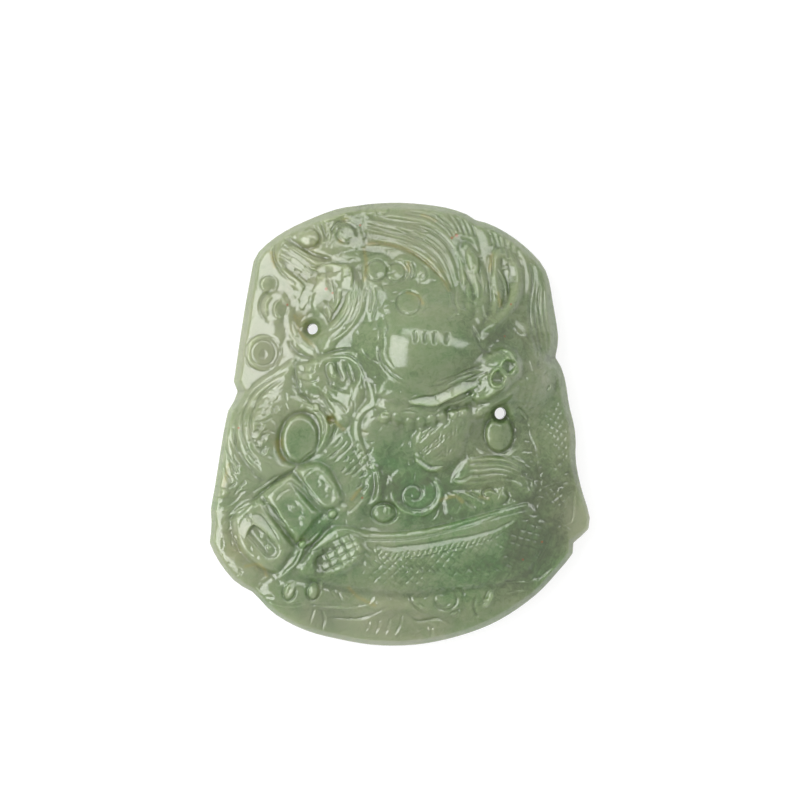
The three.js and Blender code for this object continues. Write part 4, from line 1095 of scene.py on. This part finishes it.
def stone_cells():
    """The grid cells inside the stone."""
    solid = cell_values(np.minimum(inside, -hole)) > 0
    for _ in range(4):  # cells that touch only at a corner would pinch the border, so one more is filled
        a, b, c, d = solid[:-1, :-1], solid[:-1, 1:], solid[1:, :-1], solid[1:, 1:]
        b |= a & d & ~b & ~c
        a |= b & c & ~a & ~d
    return solid


def border_shift(solid):
    """Moves the grid's border vertices onto the true border, so that it isn't stepped."""
    around = np.pad(solid, 1)
    count = around[:-1, :-1].astype(int) + around[1:, :-1] + around[:-1, 1:] + around[1:, 1:]
    edge = (count > 0) & (count < 4)
    field = np.minimum(inside, -hole)
    gy, gx = np.gradient(field, CELL)
    steep = np.maximum(gx ** 2 + gy ** 2, 0.3)
    limit = 0.6 * CELL
    dx = np.where(edge, np.clip(-field * gx / steep, -limit, limit), 0)
    dy = np.where(edge, np.clip(-field * gy / steep, -limit, limit), 0)
    return dx, dy


def border_edges(solid):
    """The directed edges of the border, as pairs of vertex numbers, with the stone on their left."""
    padded = np.pad(solid, 1)
    sides = [
        (padded[:-2, 1:-1], (0, 0), (0, 1)),  # below
        (padded[1:-1, 2:], (0, 1), (1, 1)),  # right
        (padded[2:, 1:-1], (1, 1), (1, 0)),  # above
        (padded[1:-1, :-2], (1, 0), (0, 0)),  # left
    ]
    edges = {}
    for neighbour, start, end in sides:
        rows, cols = np.nonzero(solid & ~neighbour)
        starts = (rows + start[0]) * X.shape[1] + cols + start[1]
        ends = (rows + end[0]) * X.shape[1] + cols + end[1]
        edges.update(zip(starts.tolist(), ends.tolist()))
    return edges


def border_loops(solid):
    """The border's closed loops of vertex numbers: the rim first, then the drilled holes."""
    following = border_edges(solid)
    loops = []
    while following:
        loop = [next(iter(following))]
        while loop[-1] in following:
            loop.append(following.pop(loop[-1]))
        loops.append(loop[:-1])
    return sorted(loops, key=len, reverse=True)


def grid_points(solid):
    """Every grid point in the frame, in millimetres, with the border's points moved onto the true border."""
    dx, dy = border_shift(solid)
    slope_y, slope_x = np.gradient(H, CELL)
    heights = H + slope_x * dx + slope_y * dy
    return np.stack([X + dx + SHIFT[0], Y + dy + SHIFT[1], heights], axis=-1).reshape(-1, 3)


def wall_levels(top, is_rim):
    """The levels of the wall below a border loop, as lists of points. The rim turns inwards at its foot."""
    step = np.roll(top, -4, axis=0) - np.roll(top, 4, axis=0)
    inward = np.stack([-step[:, 1], step[:, 0]], 1) / np.hypot(step[:, 0], step[:, 1])[:, None]
    for angle in (0, 22, 45, 67, 90) if is_rim else (90,):
        height = BACK_ROUND * (1 - math.sin(math.radians(angle)))
        inset = BACK_ROUND * (1 - math.cos(math.radians(angle))) if is_rim else 0
        yield [[x + inset * u, y + inset * v, height] for (x, y, _), (u, v) in zip(top, inward)]


def back_faces(points, loops):
    """Triangles over the flat back between its border loops, facing down."""
    corners = [i for loop in loops for i in loop]
    faces = []
    for triangle in tessellate_polygon([[Vector(points[i]) for i in loop] for loop in loops]):
        a, b, c = (corners[i] for i in triangle)
        (ax, ay, _), (bx, by, _), (cx, cy, _) = points[a], points[b], points[c]
        anticlockwise = (bx - ax) * (cy - ay) > (by - ay) * (cx - ax)
        faces.append([a, c, b] if anticlockwise else [a, b, c])
    return faces


def stone_mesh():
    """The sculpted top, the rounded lower rim, the holes' walls and the flat back, as one closed mesh."""
    solid = stone_cells()
    grid = grid_points(solid)
    loops = border_loops(solid)
    for loop in loops:
        for _ in range(3):  # the border's last small steps are smoothed away
            here = grid[loop, :2]
            grid[loop, :2] = (np.roll(here, 1, 0) + 2 * here + np.roll(here, -1, 0)) / 4

    rows, cols = np.nonzero(solid)
    first = rows * X.shape[1] + cols
    quads = np.stack([first, first + 1, first + X.shape[1] + 1, first + X.shape[1]], axis=1)
    used, inverse = np.unique(quads, return_inverse=True)
    number = {vertex: i for i, vertex in enumerate(used.tolist())}
    faces = inverse.reshape(-1, 4).tolist()
    points = grid[used].tolist()
    grid_tints = tint_field().reshape(-1, 4)
    tints = grid_tints[used].tolist()

    bottom_loops = []
    for loop in loops:
        above = [number[vertex] for vertex in loop]
        for level in wall_levels(grid[loop], is_rim=not bottom_loops):
            below = list(range(len(points), len(points) + len(loop)))
            points += level
            tints += grid_tints[loop].tolist()
            for i, a in enumerate(above):
                j = (i + 1) % len(loop)
                faces.append([a, below[i], below[j], above[j]])
            above = below
        bottom_loops.append(above)
    smooth_faces = len(faces)
    faces += back_faces(points, bottom_loops)

    mesh = bpy.data.meshes.new("jade_stone")
    mesh.from_pydata([[v * MM for v in point] for point in points], [], faces)
    mesh.polygons.foreach_set("use_smooth", [i < smooth_faces for i in range(len(faces))])
    colour = mesh.color_attributes.new("jade", "FLOAT_COLOR", "POINT")
    colour.data.foreach_set("color", np.array(tints, np.float32).ravel())
    mesh.update()
    return mesh


# ---- Material ----

# The stone's colours, and those of its stains and specks. The pale colour also stands for painted light, and
# the deep colour for painted shade.
PALE_AND_LIT = (0.32, 0.335, 0.225)
SAGE = (0.187, 0.224, 0.113)
LEAF = (0.083, 0.184, 0.058)
DEEP_AND_SHADE = (0.08, 0.10, 0.048)
IRON = (0.30, 0.26, 0.07)
RUST = (0.30, 0.07, 0.02)


def jade_material():
    """Translucent stone whose colour follows the painted zones, with clouds, fibres and stains in it, and
    painted light and shade from its tone.
    """
    material = bpy.data.materials.new("carved_jade")
    material.use_nodes = True
    nodes, links = material.node_tree.nodes, material.node_tree.links
    nodes.clear()
    output = nodes.new("ShaderNodeOutputMaterial")
    shader = nodes.new("ShaderNodeBsdfPrincipled")
    links.new(shader.outputs[0], output.inputs[0])
    shader.inputs["IOR"].default_value = 1.66
    shader.inputs["Subsurface Weight"].default_value = 1.0
    shader.inputs["Subsurface Radius"].default_value = (0.9, 1.0, 0.8)
    shader.inputs["Subsurface Scale"].default_value = 4.0 * MM

    place = nodes.new("ShaderNodeTexCoord").outputs["Object"]
    tints = nodes.new("ShaderNodeSeparateColor")
    attribute = nodes.new("ShaderNodeAttribute")
    attribute.attribute_name = "jade"
    links.new(attribute.outputs["Color"], tints.inputs[0])

    def noise(scale, detail, distortion=0.0):
        node = nodes.new("ShaderNodeTexNoise")
        node.inputs["Scale"].default_value = scale
        node.inputs["Detail"].default_value = detail
        node.inputs["Distortion"].default_value = distortion
        links.new(place, node.inputs["Vector"])
        return node.outputs["Fac"]

    def ramp(source, low, high, out_low=0.0, out_high=1.0):
        node = nodes.new("ShaderNodeMapRange")
        for name, value in zip(("From Min", "From Max", "To Min", "To Max"), (low, high, out_low, out_high)):
            node.inputs[name].default_value = value
        links.new(source, node.inputs["Value"])
        return node.outputs["Result"]

    def maths(operation, a, b):
        node = nodes.new("ShaderNodeMath")
        node.operation = operation
        node.use_clamp = True
        for socket, value in zip(node.inputs, (a, b)):
            if isinstance(value, (int, float)):
                socket.default_value = value
            else:
                links.new(value, socket)
        return node.outputs[0]

    def mix(share, a, b):
        node = nodes.new("ShaderNodeMix")
        node.data_type = "RGBA"
        links.new(share, node.inputs["Factor"])
        for socket, value in zip((node.inputs[6], node.inputs[7]), (a, b)):
            if isinstance(value, tuple):
                socket.default_value = (*value, 1)
            else:
                links.new(value, socket)
        return node.outputs[2]

    cloud = noise(260, 4, 0.6)
    fibre = noise(1400, 3, 1.2)
    mottle = noise(480, 5, 0.8)
    greenness = maths("ADD", tints.outputs[0], ramp(cloud, 0.3, 0.7, -0.22, 0.22))
    tone_and_shade = maths("ADD", tints.outputs[2], ramp(fibre, 0.3, 0.7, -0.14, 0.14))
    tone_and_shade = maths("ADD", tone_and_shade, ramp(mottle, 0.3, 0.7, -0.16, 0.16))
    stone = mix(greenness, SAGE, LEAF)
    # painted light and shade: a high tone mixes in the pale colour where light falls, a low tone the deep
    # colour in the hollows and at the lower right
    stone = mix(ramp(tone_and_shade, 0.3, 0.9, 0.0, 0.5), stone, PALE_AND_LIT)
    stone = mix(ramp(tone_and_shade, 0.0, 0.4, 0.75, 0.0), stone, DEEP_AND_SHADE)
    stained = maths("MULTIPLY", tints.outputs[1], ramp(fibre, 0.25, 0.75, 0.4, 1.2))
    stone = mix(stained, stone, IRON)
    stone = mix(ramp(attribute.outputs["Alpha"], 0.35, 0.9, 0.0, 0.75), stone, RUST)
    links.new(stone, shader.inputs["Base Color"])
    links.new(ramp(noise(700, 5, 0.4), 0.3, 0.75, 0.07, 0.2), shader.inputs["Roughness"])

    bump = nodes.new("ShaderNodeBump")
    bump.inputs["Strength"].default_value = 0.25
    bump.inputs["Distance"].default_value = 0.05 * MM
    links.new(noise(2600, 4, 0.5), bump.inputs["Height"])
    links.new(bump.outputs[0], shader.inputs["Normal"])
    return material


# ---- Building ----


def build_plaque():
    """One stone, so one piece, which stands for every carved region of the CAD model."""
    stone = bpy.data.objects.new("jade_stone", stone_mesh())
    bpy.context.scene.collection.objects.link(stone)
    stone.data.materials.append(jade_material())
    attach(stone, "root")
    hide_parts(GROUND, *NODES)


# ---- Camera, light and floor ----

LIGHT_DISTANCE = 0.6  # metres from the plaque to each softbox


def add_camera():
    """A long lens straight above the plaque."""
    data = bpy.data.cameras.new("camera")
    camera = bpy.data.objects.new("camera", data)
    bpy.context.scene.collection.objects.link(camera)
    data.lens = 120
    data.sensor_width = 36
    view_width = 101.2 * MM
    focus_height = 3 * MM
    distance = view_width * data.lens / data.sensor_width
    camera.location = (-0.08 * MM, 3.06 * MM, focus_height + distance)
    data.clip_start = 0.01
    bpy.context.scene.camera = camera


def add_area(name, direction, width, height, radiance, reflected):
    """A rectangular softbox that faces the plaque, from a direction given by the vector towards it.

    It is either seen only as a reflection, or gives only soft light.
    """
    data = bpy.data.lights.new(name, "AREA")
    data.shape = "RECTANGLE"
    data.size, data.size_y = width, height
    data.energy = radiance * math.pi * width * height
    light = bpy.data.objects.new(name, data)
    aim = Vector(direction).normalized()
    light.location = aim * LIGHT_DISTANCE
    light.rotation_euler = aim.to_track_quat("Z", "Y").to_euler()
    light.visible_diffuse = not reflected
    light.visible_glossy = reflected
    bpy.context.scene.collection.objects.link(light)


def add_light():
    add_area("key_softbox", (-0.64, 0.04, 0.766), 0.75, 0.32, 5.0, True)
    add_area("top_strip", (0.25, 0.62, 0.785), 1.1, 0.16, 3.8, True)
    add_area("soft_fill", (-0.62, 0.25, 0.74), 0.6, 0.6, 2.9, False)
    world = bpy.data.worlds.new("studio")
    world.use_nodes = True
    background = world.node_tree.nodes["Background"]
    background.inputs["Color"].default_value = (1.0, 1.0, 1.0, 1)
    background.inputs["Strength"].default_value = 0.8
    bpy.context.scene.world = world


def add_floor():
    """A plain floor that shines a little, so that it stays nearly white."""
    mesh = bpy.data.meshes.new("floor")
    half = 1.5
    corners = [(-half, -half, 0), (half, -half, 0), (half, half, 0), (-half, half, 0)]
    mesh.from_pydata(corners, [], [(0, 1, 2, 3)])
    floor = bpy.data.objects.new("floor", mesh)
    floor.location.z = -0.02 * MM
    bpy.context.scene.collection.objects.link(floor)
    material = bpy.data.materials.new("white_floor")
    material.use_nodes = True
    shader = material.node_tree.nodes["Principled BSDF"]
    shader.inputs["Base Color"].default_value = (0.25, 0.25, 0.25, 1)
    shader.inputs["Roughness"].default_value = 0.9
    shader.inputs["Emission Color"].default_value = (1, 1, 1, 1)
    shader.inputs["Emission Strength"].default_value = 0.8
    mesh.materials.append(material)


add_camera()
add_light()
add_floor()
build_plaque()
bpy.context.scene.view_settings.view_transform = "Standard"
